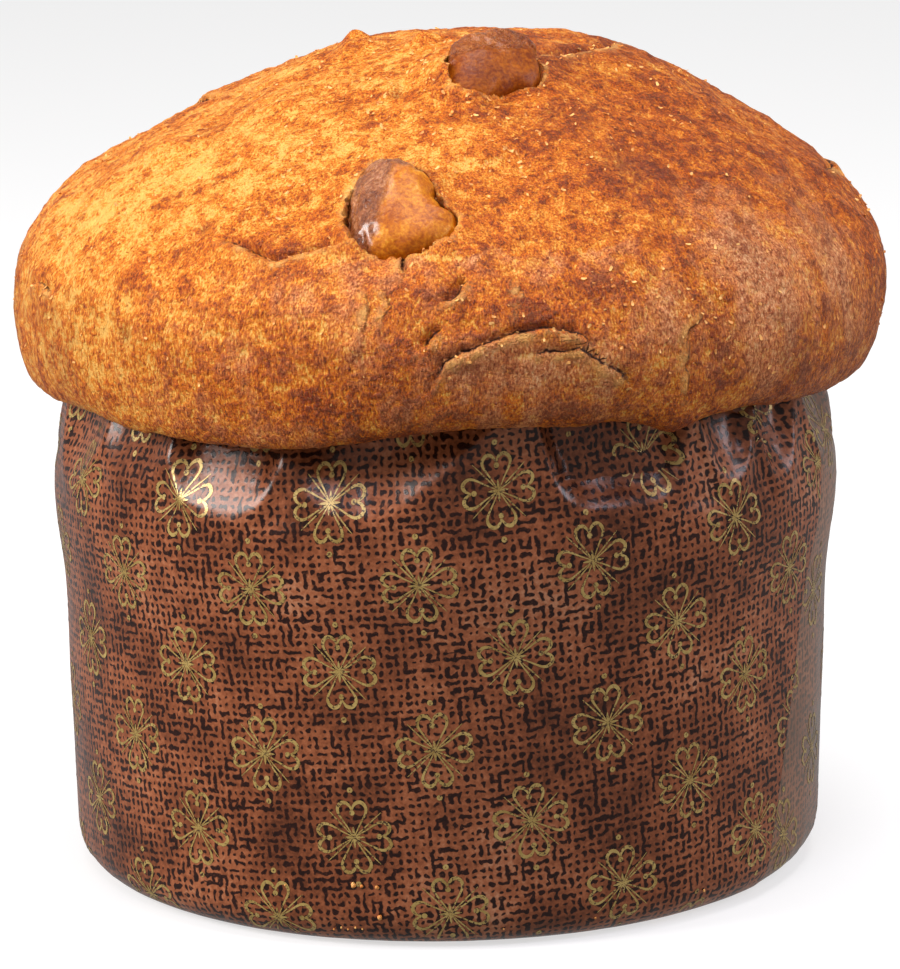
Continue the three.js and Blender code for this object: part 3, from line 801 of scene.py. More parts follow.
def crustMaterial():
    nodes = Nodes("baked_crust")
    place = nodes.ownPlace()
    speckle = nodes.noise(place, 680, 4, 0.68, 0.4)
    mottle = nodes.noise(place, 300, 4, 0.65, 0.8)
    gathered = nodes.noise(place, 130, 3, 0.6, 0.5)
    fine = nodes.noise(nodes.placed(place, (0, 25, 0), (1, 1, 0.35)), 2300, 2, 0.6)
    curl = nodes.noise(place, 950, 1, 0.5, 2.2)
    hair = nodes.spread(nodes.sum("ABSOLUTE", nodes.sum("SUBTRACT", curl, 0.5)), 0.035, 0.008)
    bakeAndShade = nodes.field("bakeAndShade")
    shifted = nodes.shifted
    lively = nodes.spread(nodes.field("calm"), 0, 1, 1.3, 1.4)   # how strongly the crust is speckled
    tone = shifted(fine, 1.7, shifted(speckle, lively, shifted(mottle, 1.3, shifted(gathered, 1.1, bakeAndShade))))
    glazed = nodes.ramp(tone, [
        (0.0, paint(250, 188, 92)), (0.2, paint(238, 148, 42)), (0.42, paint(218, 112, 14)),
        (0.64, paint(186, 82, 4)), (0.84, paint(150, 58, 2)), (1.0, paint(100, 38, 6)),
    ])
    tanTone = shifted(fine, 1.7, shifted(speckle, 1.1, nodes.sum("MULTIPLY_ADD", mottle, 0.7, 0.1)))
    dough = nodes.ramp(tanTone, [
        (0.1, paint(248, 190, 138)), (0.4, paint(226, 147, 92)), (0.68, paint(188, 100, 54)),
        (0.95, paint(122, 52, 24)),
    ])
    bare = shifted(mottle, 0.9, shifted(speckle, 0.7, nodes.field("tan")))
    colour = nodes.blend(nodes.spread(bare, 0.2, 0.95), glazed, dough)
    # Red-brown freckles gather in some places, and fine pale threads stand up all over.
    freckled = shifted(gathered, 0.9, shifted(bakeAndShade, 0.25, speckle))
    freckle = nodes.spread(freckled, 0.53, 0.74, 0.0, 0.6)
    colour = nodes.blend(freckle, colour, paint(128, 46, 14))
    colour = nodes.blend(nodes.sum("MULTIPLY", hair, 0.24), colour, paint(248, 180, 92))
    flour = nodes.sum("MULTIPLY", nodes.field("pale"), nodes.spread(speckle, 0.3, 0.6))
    colour = nodes.blend(flour, colour, paint(250, 184, 100))
    # Dark purple-brown stains, and the painted shade of splits, pits and sockets.
    stainShade = nodes.sum("MULTIPLY", nodes.field("stainAndShade"), nodes.spread(speckle, 0.25, 0.6, 0.45, 1.0))
    colour = nodes.blend(stainShade, colour, paint(100, 46, 34))
    # A thin dark line along each split: painted shade inside the crack.
    wobble = shifted(speckle, 1.6, nodes.field("splitSide"))
    line = nodes.spread(nodes.sum("ABSOLUTE", wobble), 0.4, 0.12)
    gaping = nodes.spread(nodes.field("splitNear"), 0.15, 0.6)
    gaping = nodes.sum("MULTIPLY", gaping, nodes.spread(mottle, 0.35, 0.5, 0.5, 1))
    split = nodes.sum("MULTIPLY", line, gaping, clamp=True)
    colour = nodes.blend(split, colour, paint(54, 20, 8))
    nodes.join(colour, nodes.skin, "Base Color")
    nodes.join(nodes.spread(mottle, 0.3, 0.7, 0.32, 0.55), nodes.skin, "Roughness")
    nodes.even({"Specular IOR Level": 0.26})
    rough = nodes.bumpFrom(mottle, 1.3, 0.9)
    grain = nodes.bumpFrom(speckle, 1.1, 1.0, rough)
    strands = nodes.bumpFrom(hair, 0.12, 0.8, grain)
    threads = nodes.bumpFrom(fine, 0.22, 1.0, strands)
    step = nodes.spread(wobble, -0.35, 0.25, 1.0, 0.0)
    edge = nodes.sum("MULTIPLY", step, nodes.field("splitNear"))
    nodes.join(nodes.bumpFrom(edge, 0.7, 0.8, threads), nodes.skin, "Normal")
    return nodes.material


crustPiece = makeCrust()
crustPiece.data.materials.append(crustMaterial())
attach(crustPiece, "root")
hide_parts("loaf")
print("crust made:", len(crustPiece.data.polygons), "faces")

flakes = {"perSquareMetre": 120000, "small": 0.16, "large": 0.72, "seed": 5, "sides": 7, "thick": 0.2,
          "curl": 0.3}


# One flake: a thin, curled chip about 1.6 mm across.
def flakeMesh():
    spin = np.arange(flakes["sides"]) * turn / flakes["sides"]
    reach = 0.8 + 0.22 * np.sin(2.3 * spin + 0.7) + 0.12 * np.sin(5 * spin)
    x, y = reach * np.cos(spin), 0.72 * reach * np.sin(spin)
    x, y = np.append(x, 0.0), np.append(y, 0.0)
    bent = flakes["curl"] * (x + 0.3) ** 2
    upper = np.stack([x, y, bent + flakes["thick"]], 1)
    lower = np.stack([x * 0.96, y * 0.96, bent - 0.03], 1)
    count = flakes["sides"]
    faces = []
    for step in range(count):
        beside = (step + 1) % count
        faces.append((step, beside, count))
        faces.append((count + 1 + beside, count + 1 + step, 2 * count + 1))
        faces.append((step, count + 1 + step, count + 1 + beside, beside))
    mesh = bpy.data.meshes.new("flake")
    mesh.from_pydata((np.concatenate([upper, lower]) * metre).tolist(), [], faces)
    return mesh


def flakeTree():
    shaper = Shaper("scattered_flakes", [
        ("Flake", "NodeSocketObject"), ("Density", "NodeSocketFloat"), ("Seed", "NodeSocketInt"),
        ("Smallest", "NodeSocketFloat"), ("Largest", "NodeSocketFloat"), ("Material", "NodeSocketMaterial"),
    ])
    flaky = shaper.add("GeometryNodeInputNamedAttribute", {"Name": "flaky"}, data_type="FLOAT").outputs[0]
    strewn = shaper.add("GeometryNodeDistributePointsOnFaces", {
        "Mesh": shaper.given("Geometry"), "Seed": shaper.given("Seed"),
        "Density": shaper.sum("MULTIPLY", flaky, shaper.given("Density")),
    })
    chip = shaper.add("GeometryNodeObjectInfo", {"Object": shaper.given("Flake")}).outputs["Geometry"]
    size = shaper.add("FunctionNodeRandomValue", {
        2: shaper.given("Smallest"), 3: shaper.given("Largest"), "Seed": shaper.given("Seed"),
    }).outputs[1]
    laid = shaper.add("GeometryNodeInstanceOnPoints", {
        "Points": strewn.outputs["Points"], "Instance": chip, "Rotation": strewn.outputs["Rotation"],
        "Scale": size,
    }).outputs[0]
    askew = shaper.add("FunctionNodeRandomValue", {
        0: (-0.5, -0.5, 0.0), 1: (0.5, 0.5, turn), "Seed": shaper.given("Seed"),
    }, data_type="FLOAT_VECTOR").outputs[0]
    spun = shaper.add("GeometryNodeRotateInstances", {"Instances": laid, "Rotation": askew}).outputs[0]
    shaper.finish(spun)
    return shaper


def looseCrustMaterial():
    nodes = Nodes("loose_crust")
    tone = nodes.noise(nodes.ownPlace(), 700, 2)
    colour = nodes.ramp(tone, [(0.35, paint(214, 124, 44)), (0.65, paint(248, 190, 110))])
    nodes.join(colour, nodes.skin, "Base Color")
    nodes.even({"Roughness": 0.6})
    return nodes.material


looseCrust = looseCrustMaterial()
flakeSource = addObject("flake_source", flakeMesh())
flakePiece = flakeTree().run("crust_flakes", {
    "Flake": flakeSource, "Density": float(flakes["perSquareMetre"]), "Seed": flakes["seed"],
    "Smallest": flakes["small"],
    "Largest": flakes["large"], "Material": looseCrust,
}, crustPiece.data)
bpy.data.objects.remove(flakeSource)
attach(flakePiece, "root")
print("flakes made:", len(flakePiece.data.polygons), "faces")


# Nothing below 0, then rising one to one, with a rounded start.
def hinge(value, roundness):
    return 0.5 * (value + np.hypot(value, roundness))


def makePeel(name, peel):
    basis, origin = peelFrame(peel)
    count, rows = peelForm["around"], peelForm["ends"]
    around = np.arange(count) * turn / count
    reach = outlineRadius(peel, np.cos(around), np.sin(around))
    bow = 2 / peel["square"]
    rings = []
    for row in range(1, rows):
        polar = math.pi * row / rows
        wide = math.sin(polar) ** bow
        high = -math.copysign(abs(math.cos(polar)) ** bow, math.cos(polar))
        rings.append(np.stack([wide * np.cos(around), wide * np.sin(around), np.full(count, high)], 1))
    ball = np.concatenate(rings + [np.array([[0, 0, -1.0], [0, 0, 1.0]])])
    spread = np.append(np.tile(reach, rows - 1), [1, 1])
    body = ball * np.stack([spread, spread, np.full(len(ball), peel["size"][2] / 2)], 1)
    wave = peelForm["wave"] * np.sin(body[:, 0] / 3 + body[:, 2] / 3) * np.cos(body[:, 1] / 3.5)
    body *= (1 + wave)[:, None]
    outside = unit(ball * np.array([1, 1, 1.3]))
    seed = peel["seed"]
    upper = softStep(-0.1, 0.3, ball[:, 2])
    if name == "peel_front":   # the block falls away to its wrinkled, browned left side
        aslant = body[:, 0] - 0.15 * body[:, 1] + 0.9 * lumps(body, 4, seed + 3)
        leftward = np.maximum(softStep(-1.5, -6.0, aslant), 0.8 * softStep(7, 12, body[:, 1]))
        body[:, 2] -= upper * 0.5 * hinge(-4 - body[:, 0] + 0.15 * body[:, 1], 3)
        body[:, 2] -= upper * 0.25 * hinge(body[:, 0] + 0.8 * body[:, 1] - 6, 4)
        skinSide = leftward * upper
    elif name == "peel_top":
        body[:, 2] -= upper * 0.3 * hinge(0.5 - body[:, 1], 1.0)
        skinSide = softStep(0.5, 3.5, body[:, 1] + 1.1 * lumps(body, 4, seed + 3))
        skinSide = skinSide * softStep(0.3, 0.7, ball[:, 2])
    else:
        skinSide = softStep(2, 6, body[:, 0]) * upper
    wrinkle = lumps(body * np.array([1, 0.4, 1]), 1.7, seed) * 0.5
    wrinkle += lumps(body * np.array([1, 0.6, 1]), 3.6, seed + 1) * 0.6
    body += outside * (wrinkle * (0.12 + 0.88 * skinSide))[:, None]
    body += outside * (0.35 * lumps(body, 6, seed + 2))[:, None]
    faces = ringFaces(rows - 1, count) + poleFaces(rows - 1, count)
    deepAndShade = softStep(0.55, 0.0, ball[:, 2])
    if name == "peel_top":
        # The top block's face below its skin is painted deep amber: partly its own colour, partly painted
        # shade under the overhanging skin.
        deepAndShade = np.maximum(deepAndShade, 1 - 0.3 * skinSide)
    return addMesh(name, body @ basis.T + origin, faces, {"browned": skinSide, "deep": deepAndShade})


def peelMaterial():
    nodes = Nodes("candied_peel_glossy")
    place = nodes.ownPlace()
    cloudy = nodes.noise(place, 190, 4, 0.6, 0.6)
    pores = nodes.noise(place, 1300, 3, 0.6)
    crinkle = nodes.noise(place, 620, 2, 0.55, 1.6)
    browned = nodes.field("browned")
    mixedTone = nodes.shifted(pores, 0.9, cloudy)
    amber = nodes.ramp(mixedTone, [
        (0.25, paint(150, 70, 2)), (0.45, paint(184, 100, 6)), (0.65, paint(208, 130, 20)),
        (0.8, paint(222, 160, 70)),
    ])
    burnt = nodes.ramp(mixedTone, [
        (0.25, paint(104, 50, 24)), (0.5, paint(152, 88, 48)), (0.75, paint(196, 134, 90)),
    ])
    edge = nodes.spread(nodes.shifted(cloudy, 1.2, browned), 0.25, 0.75)
    colour = nodes.blend(edge, amber, burnt)
    # The deep field darkens towards deep amber; on the top block's front face this is partly painted shade.
    deep = nodes.sum("MULTIPLY", nodes.field("deep"), 0.95)
    deepAmber = nodes.ramp(mixedTone, [(0.3, paint(114, 44, 0)), (0.7, paint(170, 88, 0))])
    colour = nodes.blend(deep, colour, deepAmber)
    nodes.join(colour, nodes.skin, "Base Color")
    nodes.join(nodes.spread(browned, 0, 1, 0.42, 0.27), nodes.skin, "Roughness")
    nodes.even({
        "Specular IOR Level": 0.26, "Subsurface Weight": 0.2, "Subsurface Radius": (1.0, 0.45, 0.12),
        "Subsurface Scale": 0.003, "Coat Roughness": 0.18,
    })
    glazed = nodes.sum("MULTIPLY", browned, nodes.sum("SUBTRACT", 0.9, nodes.field("deep")), clamp=True)
    nodes.join(glazed, nodes.skin, "Coat Weight")
    soft = nodes.bumpFrom(cloudy, 0.5, 0.5)
    fibres = nodes.bumpFrom(pores, 0.16, 0.8, soft)
    wrinkled = nodes.sum("MULTIPLY", crinkle, nodes.spread(browned, 0.2, 0.8, 0.06, 1.0))
    nodes.join(nodes.bumpFrom(wrinkled, 1.1, 1.0, fibres), nodes.skin, "Normal")
    return nodes.material


glossyPeel = peelMaterial()
for name, peel in peels.items():
    piece = makePeel(name, peel)
    piece.data.materials.append(glossyPeel)
    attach(piece, "root")
    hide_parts(peel["node"])
print("peel made")


wall = {
    "columns": 560, "rings": 92, "lowRings": 30, "fineFrom": 80, "innerRings": 12, "footRings": 8,
    "innerFootRings": 4, "seamNear": 25.0, "seamMiddle": 60.0, "seamSplit": (0.03, 0.14),
    "lapEnd": (15, 22),
}


def makeWall():
    even = np.arange(wall["columns"]) * turn / wall["columns"]
    seamMiddle = float(seamAt(np.array(wall["seamMiddle"])))
    middle = math.radians(seamMiddle)
    near, far = wall["seamSplit"]   # columns close to the seam, in degrees from it
    offsets = np.concatenate([even[1:-1], np.radians([-far, -near, near, far])])
    offsets = np.sort((offsets + math.pi) % turn - math.pi)
    count = len(offsets)

    def anglesAt(level):
        shift = float(seamAt(np.array(float(level)))) - seamMiddle
        near = np.exp(-(np.degrees(offsets) / wall["seamNear"]) ** 2)
        return middle + offsets + math.radians(shift) * near

    footBend = case["footRound"]
    rings, flats = [], []

    def addRing(level, radius, angles, paperUp):
        rings.append(onBearing(angles, radius, np.full(count, float(level))))
        across = np.degrees((angles + math.pi) % turn - math.pi)
        flats.append(np.stack([np.radians(across) * case["waist"], np.full(count, float(paperUp))], 1))

    def footRing(share, inset):
        bend = share * math.pi / 2
        angles = anglesAt(footBend)
        outer = paperRadius(angles, np.full(count, footBend)) - footBend
        level = footBend - (footBend - inset) * math.cos(bend)
        rumple = 0.25 * lumps(onBearing(angles, 80.0, np.full(count, level)), 5, 14) * math.sin(bend)
        radius = outer + (footBend - inset) * math.sin(bend) + rumple
        addRing(level, radius, angles, footBend - (1 - share) * footBend * 1.57)

    for step in range(wall["footRings"]):
        footRing(step / wall["footRings"], 0)
    lower = np.linspace(footBend, wall["fineFrom"], wall["lowRings"])
    upper = np.linspace(wall["fineFrom"], case["height"], wall["rings"] - wall["lowRings"])[1:]
    for level in np.concatenate([lower, upper]):
        angles = anglesAt(level)
        addRing(level, paperRadius(angles, np.full(count, level)), angles, level)
    inner = np.linspace(case["height"], footBend, wall["innerRings"])
    for level in inner:
        angles = anglesAt(level)
        addRing(level, paperRadius(angles, np.full(count, level)) - case["paper"], angles, level)
    for step in range(wall["innerFootRings"] - 1, -1, -1):
        footRing(step / wall["innerFootRings"], case["paper"])
    faces = ringFaces(len(rings), count, closed=True)
    points = np.concatenate(rings)
    flat = np.concatenate(flats)
    # Marks the strip past the seam that the paper's material paints grey-beige, partly as painted sheen.
    lapped = np.tile((offsets > 0) * (1 - softStep(*wall["lapEnd"], np.degrees(offsets))), len(rings))
    return addMesh("paper_wall", points, faces, {"lapped": lapped}, flat)


weave = {"pitch": 1.76, "slant": 4.84, "dot": 0.31, "dash": 0.24, "soft": 0.08, "wander": 0.9}


def paperMaterial():
    nodes = Nodes("printed_baking_paper")
    place = nodes.ownPlace()
    flat = nodes.add("ShaderNodeUVMap", uv_map="flat").outputs["UV"]
    turned = nodes.placed(flat, (0, 0, -weave["slant"]), (1 / weave["pitch"], 1 / weave["pitch"], 1))
    drift = nodes.add("ShaderNodeTexNoise", noise_dimensions="2D")
    nodes.join(turned, drift, "Vector")
    drift.inputs["Scale"].default_value = 0.9
    drift.inputs["Detail"].default_value = 1.5
    centred = nodes.add("ShaderNodeVectorMath", operation="SUBTRACT")
    nodes.join(drift.outputs["Color"], centred, 0)
    centred.inputs[1].default_value = (0.5, 0.5, 0.5)
    warped = nodes.add("ShaderNodeVectorMath", operation="MULTIPLY_ADD")
    nodes.join(centred.outputs[0], warped, 0)
    warped.inputs[1].default_value = (weave["wander"], weave["wander"], 0)
    nodes.join(turned, warped, 2)
    split = nodes.add("ShaderNodeSeparateXYZ")
    nodes.join(warped.outputs[0], split, 0)
    x, y = split.outputs[0], split.outputs[1]
    nearX = nodes.sum("ROUND", x)
    nearY = nodes.sum("ROUND", y)
    leftX = nodes.sum("FLOOR", x)
    lowY = nodes.sum("FLOOR", y)
    offX = nodes.sum("ABSOLUTE", nodes.sum("SUBTRACT", x, nearX))
    offY = nodes.sum("ABSOLUTE", nodes.sum("SUBTRACT", y, nearY))

    def chance(first, second, salt):
        joined = nodes.add("ShaderNodeCombineXYZ")
        nodes.join(first, joined, 0)
        nodes.join(second, joined, 1)
        joined.inputs[2].default_value = salt
        draw = nodes.add("ShaderNodeTexWhiteNoise", noise_dimensions="3D")
        nodes.join(joined.outputs[0], draw, "Vector")
        return draw.outputs["Value"]

    squares = nodes.sum("ADD", nodes.sum("MULTIPLY", offX, offX), nodes.sum("MULTIPLY", offY, offY))
    reach = nodes.sum("SQRT", squares)
    size = nodes.spread(chance(nearX, nearY, 3.7), 0, 1, weave["dot"] * 0.72, weave["dot"] * 1.2)
    dot = nodes.spread(nodes.sum("SUBTRACT", size, reach), -weave["soft"], weave["soft"])
    busy = nodes.noise(turned, 0.16, 1)   # some stretches are all dots, others are full of dashes
    share = nodes.spread(busy, 0.36, 0.62, 0.06, 0.26)
    across = nodes.sum("GREATER_THAN", share, chance(leftX, nearY, 11.3))
    upward = nodes.sum("GREATER_THAN", share, chance(nearX, lowY, 29.9))
    acrossLine = nodes.spread(nodes.sum("SUBTRACT", weave["dash"], offY), -weave["soft"], weave["soft"])
    upwardLine = nodes.spread(nodes.sum("SUBTRACT", weave["dash"], offX), -weave["soft"], weave["soft"])
    dash = nodes.sum("MAXIMUM", nodes.sum("MULTIPLY", across, acrossLine),
                     nodes.sum("MULTIPLY", upward, upwardLine))
    ink = nodes.sum("MAXIMUM", dot, dash)
    grain = nodes.noise(place, 1800, 2, 0.6)
    ink = nodes.sum("MULTIPLY", ink, nodes.spread(grain, 0.2, 0.45, 0.7, 1.0))
    cloud = nodes.noise(place, 42, 3, 0.6)
    fleck = nodes.noise(place, 700, 3, 0.7)
    tone = nodes.shifted(fleck, 0.7, cloud)
    ground = nodes.ramp(tone, [
        (0.25, paint(84, 42, 22)), (0.48, paint(134, 74, 44)), (0.62, paint(160, 94, 60)),
        (0.8, paint(186, 128, 94)),
    ])
    inkTone = nodes.ramp(fleck, [(0.35, paint(26, 6, 3)), (0.7, paint(48, 18, 10))])
    colour = nodes.blend(ink, ground, inkTone)
    # The strip past the seam is painted grey-beige: partly the overlap's own tone, partly painted sheen.
    lapSheen = nodes.sum("MULTIPLY", nodes.field("lapped"), 0.42)
    colour = nodes.blend(lapSheen, colour, paint(140, 118, 98))
    nodes.join(colour, nodes.skin, "Base Color")
    nodes.join(nodes.spread(cloud, 0.35, 0.7, 0.22, 0.32), nodes.skin, "Roughness")
    nodes.even({"Specular IOR Level": 0.3})
    raised = nodes.bumpFrom(ink, 0.04, 0.3)
    slack = nodes.noise(place, 120, 3, 0.6, 0.6)
    soft = nodes.bumpFrom(slack, 0.4, 0.3, raised)
    nodes.join(nodes.bumpFrom(grain, 0.03, 0.5, soft), nodes.skin, "Normal")
    return nodes.material


wallPiece = makeWall()
printedPaper = paperMaterial()
wallPiece.data.materials.append(printedPaper)
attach(wallPiece, "root")
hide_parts("case_wall")
print("paper wall made:", len(wallPiece.data.polygons), "faces")


crumbs = {
    # Where crumbs cling to the foot of the case: bearing, height, size.
    "places": [(-14, 14.8, 0.68), (-12.8, 14.6, 0.5), (-10.5, 14.5, 0.56), (-10.2, 7.7, 0.68),
               (-17.4, 4, 0.28),
               (-16.2, 4.6, 0.3), (-15.2, 4.2, 0.25), (-14, 4.8, 0.3), (-13, 4.5, 0.24),
               (-24.6, 13.5, 0.24),
               (8, 4.4, 0.26), (22, 5, 0.3), (41, 6.5, 0.36), (128, 6, 0.5), (133, 9, 0.4),
               (-150, 5.5, 0.5),
               (-92, 6.5, 0.4)],
    "rings": 7, "around": 10, "seed": 91,
}


def crumbMesh():
    count = crumbs["around"]
    polar = np.pi * np.arange(1, crumbs["rings"]) / crumbs["rings"]
    spin = np.tile(np.arange(count) * turn / count, len(polar))
    polar = np.repeat(polar, count)
    ball = np.stack([np.sin(polar) * np.cos(spin), np.sin(polar) * np.sin(spin), -np.cos(polar)], 1)
    ball = np.concatenate([ball, [[0, 0, -1], [0, 0, 1]]])
    ball *= (1 + 0.22 * lumps(ball, 0.9, crumbs["seed"]))[:, None] * np.array([1, 0.8, 0.75])
    rings = crumbs["rings"] - 1
    mesh = bpy.data.meshes.new("crumb")
    mesh.from_pydata((ball * metre).tolist(), [], ringFaces(rings, count) + poleFaces(rings, count))
    return mesh


def crumbTree():
    shaper = Shaper("clinging_crumbs", [
        ("Crumb", "NodeSocketObject"), ("Seed", "NodeSocketInt"), ("Material", "NodeSocketMaterial"),
    ])
    size = shaper.add("GeometryNodeInputNamedAttribute", {"Name": "size"}, data_type="FLOAT").outputs[0]
    chip = shaper.add("GeometryNodeObjectInfo", {"Object": shaper.given("Crumb")}).outputs["Geometry"]
    points = shaper.add("GeometryNodeMeshToPoints", {"Mesh": shaper.given("Geometry")}).outputs[0]
    askew = shaper.add("FunctionNodeRandomValue", {
        0: (0.0, 0.0, 0.0), 1: (turn, turn, turn), "Seed": shaper.given("Seed"),
    }, data_type="FLOAT_VECTOR").outputs[0]
    laid = shaper.add("GeometryNodeInstanceOnPoints", {
        "Points": points, "Instance": chip, "Rotation": askew, "Scale": size,
    }).outputs[0]
    shaper.finish(laid)
    return shaper


bearings, heights, sizes = np.array(crumbs["places"]).T
bearings = np.radians(bearings)
fall = 1 - np.minimum(heights / case["footRound"], 1)
tucked = case["footRound"] * (1 - np.sqrt(1 - fall ** 2))
out = paperRadius(bearings, np.maximum(heights, case["footRound"])) - tucked + 0.5 * sizes
crumbHolder = addMesh("crumb_places", onBearing(bearings, out, heights), [], {"size": sizes})
crumbSource = addObject("crumb_source", crumbMesh())
crumbPiece = crumbTree().run("crumbs", {
    "Crumb": crumbSource, "Seed": crumbs["seed"], "Material": looseCrust,
}, crumbHolder.data)
bpy.data.objects.remove(crumbSource)
bpy.data.objects.remove(crumbHolder)
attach(crumbPiece, "root")
print("crumbs made:", len(crumbPiece.data.polygons), "faces")


# The gold print on the paper: lengths of its drawing are on the flat sheet.
clover = {
    "across": 38.15, "up": 36.85, "slant": 4.84, "startX": -2.9, "startZ": 45.4, "lift": 0.07,
    "columns": 17, "rows": 7, "shifted": -4, "turned": 5.2, "bow": 2.16,
    # The sheet's radius at some heights: the paper is gathered towards the top.
    "sheet": [(10, 83.5), (45, 86.0), (60, 86.0), (100, 91.2)],
    # Half of a heart petal: sideways, outwards, width of the line.
    "petal": [(0.2, 0.35, 0.24), (0.95, 1.75, 0.28), (1.7, 3.1, 0.34), (2.5, 4.4, 0.44), (3.12, 5.7, 0.6),
              (3.02, 6.95, 0.78), (2.1, 7.85, 0.84), (1.1, 7.7, 0.78), (0.4, 7.0, 0.54), (0.05, 6.2, 0.38)],
    "petalSteps": 22, "ball": (5.5, 0.62), "spray": (0.7, 8.3, 0.32), "ray": (2.4, 0.56),
    "dotAway": 10.6, "dotRadius": 0.64, "dotHole": 0.14,
    "sprayTurn": 0.87, "edge": 0.6,   # how far a spray leans, and the bare strip at the paper's top
    "castFrom": 120, "castReach": 100,   # where the rays that find the paper start, and their length
}


def smoothRun(places, steps):
    places = np.array(places, float)
    padded = np.concatenate([[2 * places[0] - places[1]], places, [2 * places[-1] - places[-2]]])
    found = []
    legs = len(places) - 1
    for step in range(steps + 1):
        spot = min(step * legs / steps, legs - 1e-9)
        leg = int(spot)
        t = spot - leg
        a, b, c, d = padded[leg:leg + 4]
        bend = 2 * a - 5 * b + 4 * c - d
        twist = 3 * b - a - 3 * c + d
        found.append(0.5 * (2 * b + (c - a) * t + bend * t * t + twist * t ** 3))
    return np.array(found)


# One clover, flat, centred on the origin: heart petals, sprays, a small star and two dots.
def cloverMesh():
    points, faces = [], []

    def addRibbon(line):
        start = len(points)
        way = np.gradient(line[:, :2], axis=0)
        side = unit(np.stack([-way[:, 1], way[:, 0]], 1)) * line[:, 2:3] / 2
        for place, off in zip(line[:, :2], side):
            points.append((*(place + off), 0))
            points.append((*(place - off), 0))
        for step in range(len(line) - 1):
            a = start + 2 * step
            faces.append((a, a + 1, a + 3, a + 2))

    def addDisc(centre, radius, hole=0.0, sides=12):
        start = len(points)
        spin = np.arange(sides) * turn / sides
        for angle in spin:
            points.append((centre[0] + radius * math.cos(angle), centre[1] + radius * math.sin(angle), 0))
        if not hole:
            faces.append(tuple(range(start, start + sides)))
            return
        for angle in spin:
            points.append((centre[0] + hole * math.cos(angle), centre[1] + hole * math.sin(angle), 0))
        for step in range(sides):
            beside = (step + 1) % sides
            faces.append((start + step, start + beside, start + sides + beside, start + sides + step))

    half = smoothRun(clover["petal"], clover["petalSteps"])
    for quarter in range(4):
        spin = quarter * math.pi / 2
        turned = np.array([[math.cos(spin), -math.sin(spin)], [math.sin(spin), math.cos(spin)]])
        for mirror in (1, -1):
            line = half.copy()
            line[:, :2] = (half[:, :2] * np.array([mirror, 1])) @ turned.T
            addRibbon(line)
        away, radius = clover["ball"]
        addDisc(turned @ np.array([0.0, away]), radius, sides=10)
        start, end, wide = clover["spray"]
        lean = clover["sprayTurn"]
        reach = np.linspace(start, end, 9)
        swell = wide * (0.35 + 0.65 * np.sin(np.linspace(0.2, math.pi * 0.97, 9)))
        aslant = np.stack([reach * math.sin(lean), reach * math.cos(lean)], 1) @ turned.T
        addRibbon(np.column_stack([aslant, swell]))
        length, wide = clover["ray"]
        reach = np.linspace(0, length, 5)
        swell = wide * np.array([0.5, 0.8, 1.0, 0.75, 0.15])
        straight = np.stack([0 * reach, reach], 1) @ turned.T
        addRibbon(np.column_stack([straight, swell]))
    for away in (clover["dotAway"], -clover["dotAway"]):
        addDisc((0.0, away), clover["dotRadius"], clover["dotHole"])
    points = np.array(points)
    spin = math.radians(clover["turned"])
    sine, cosine = math.sin(spin), math.cos(spin)
    turned = np.array([[cosine, -sine, 0], [sine, cosine, 0], [0, 0, 1]])
    mesh = bpy.data.meshes.new("clover")
    mesh.from_pydata((points @ turned.T * metre).tolist(), [], faces)
    return mesh


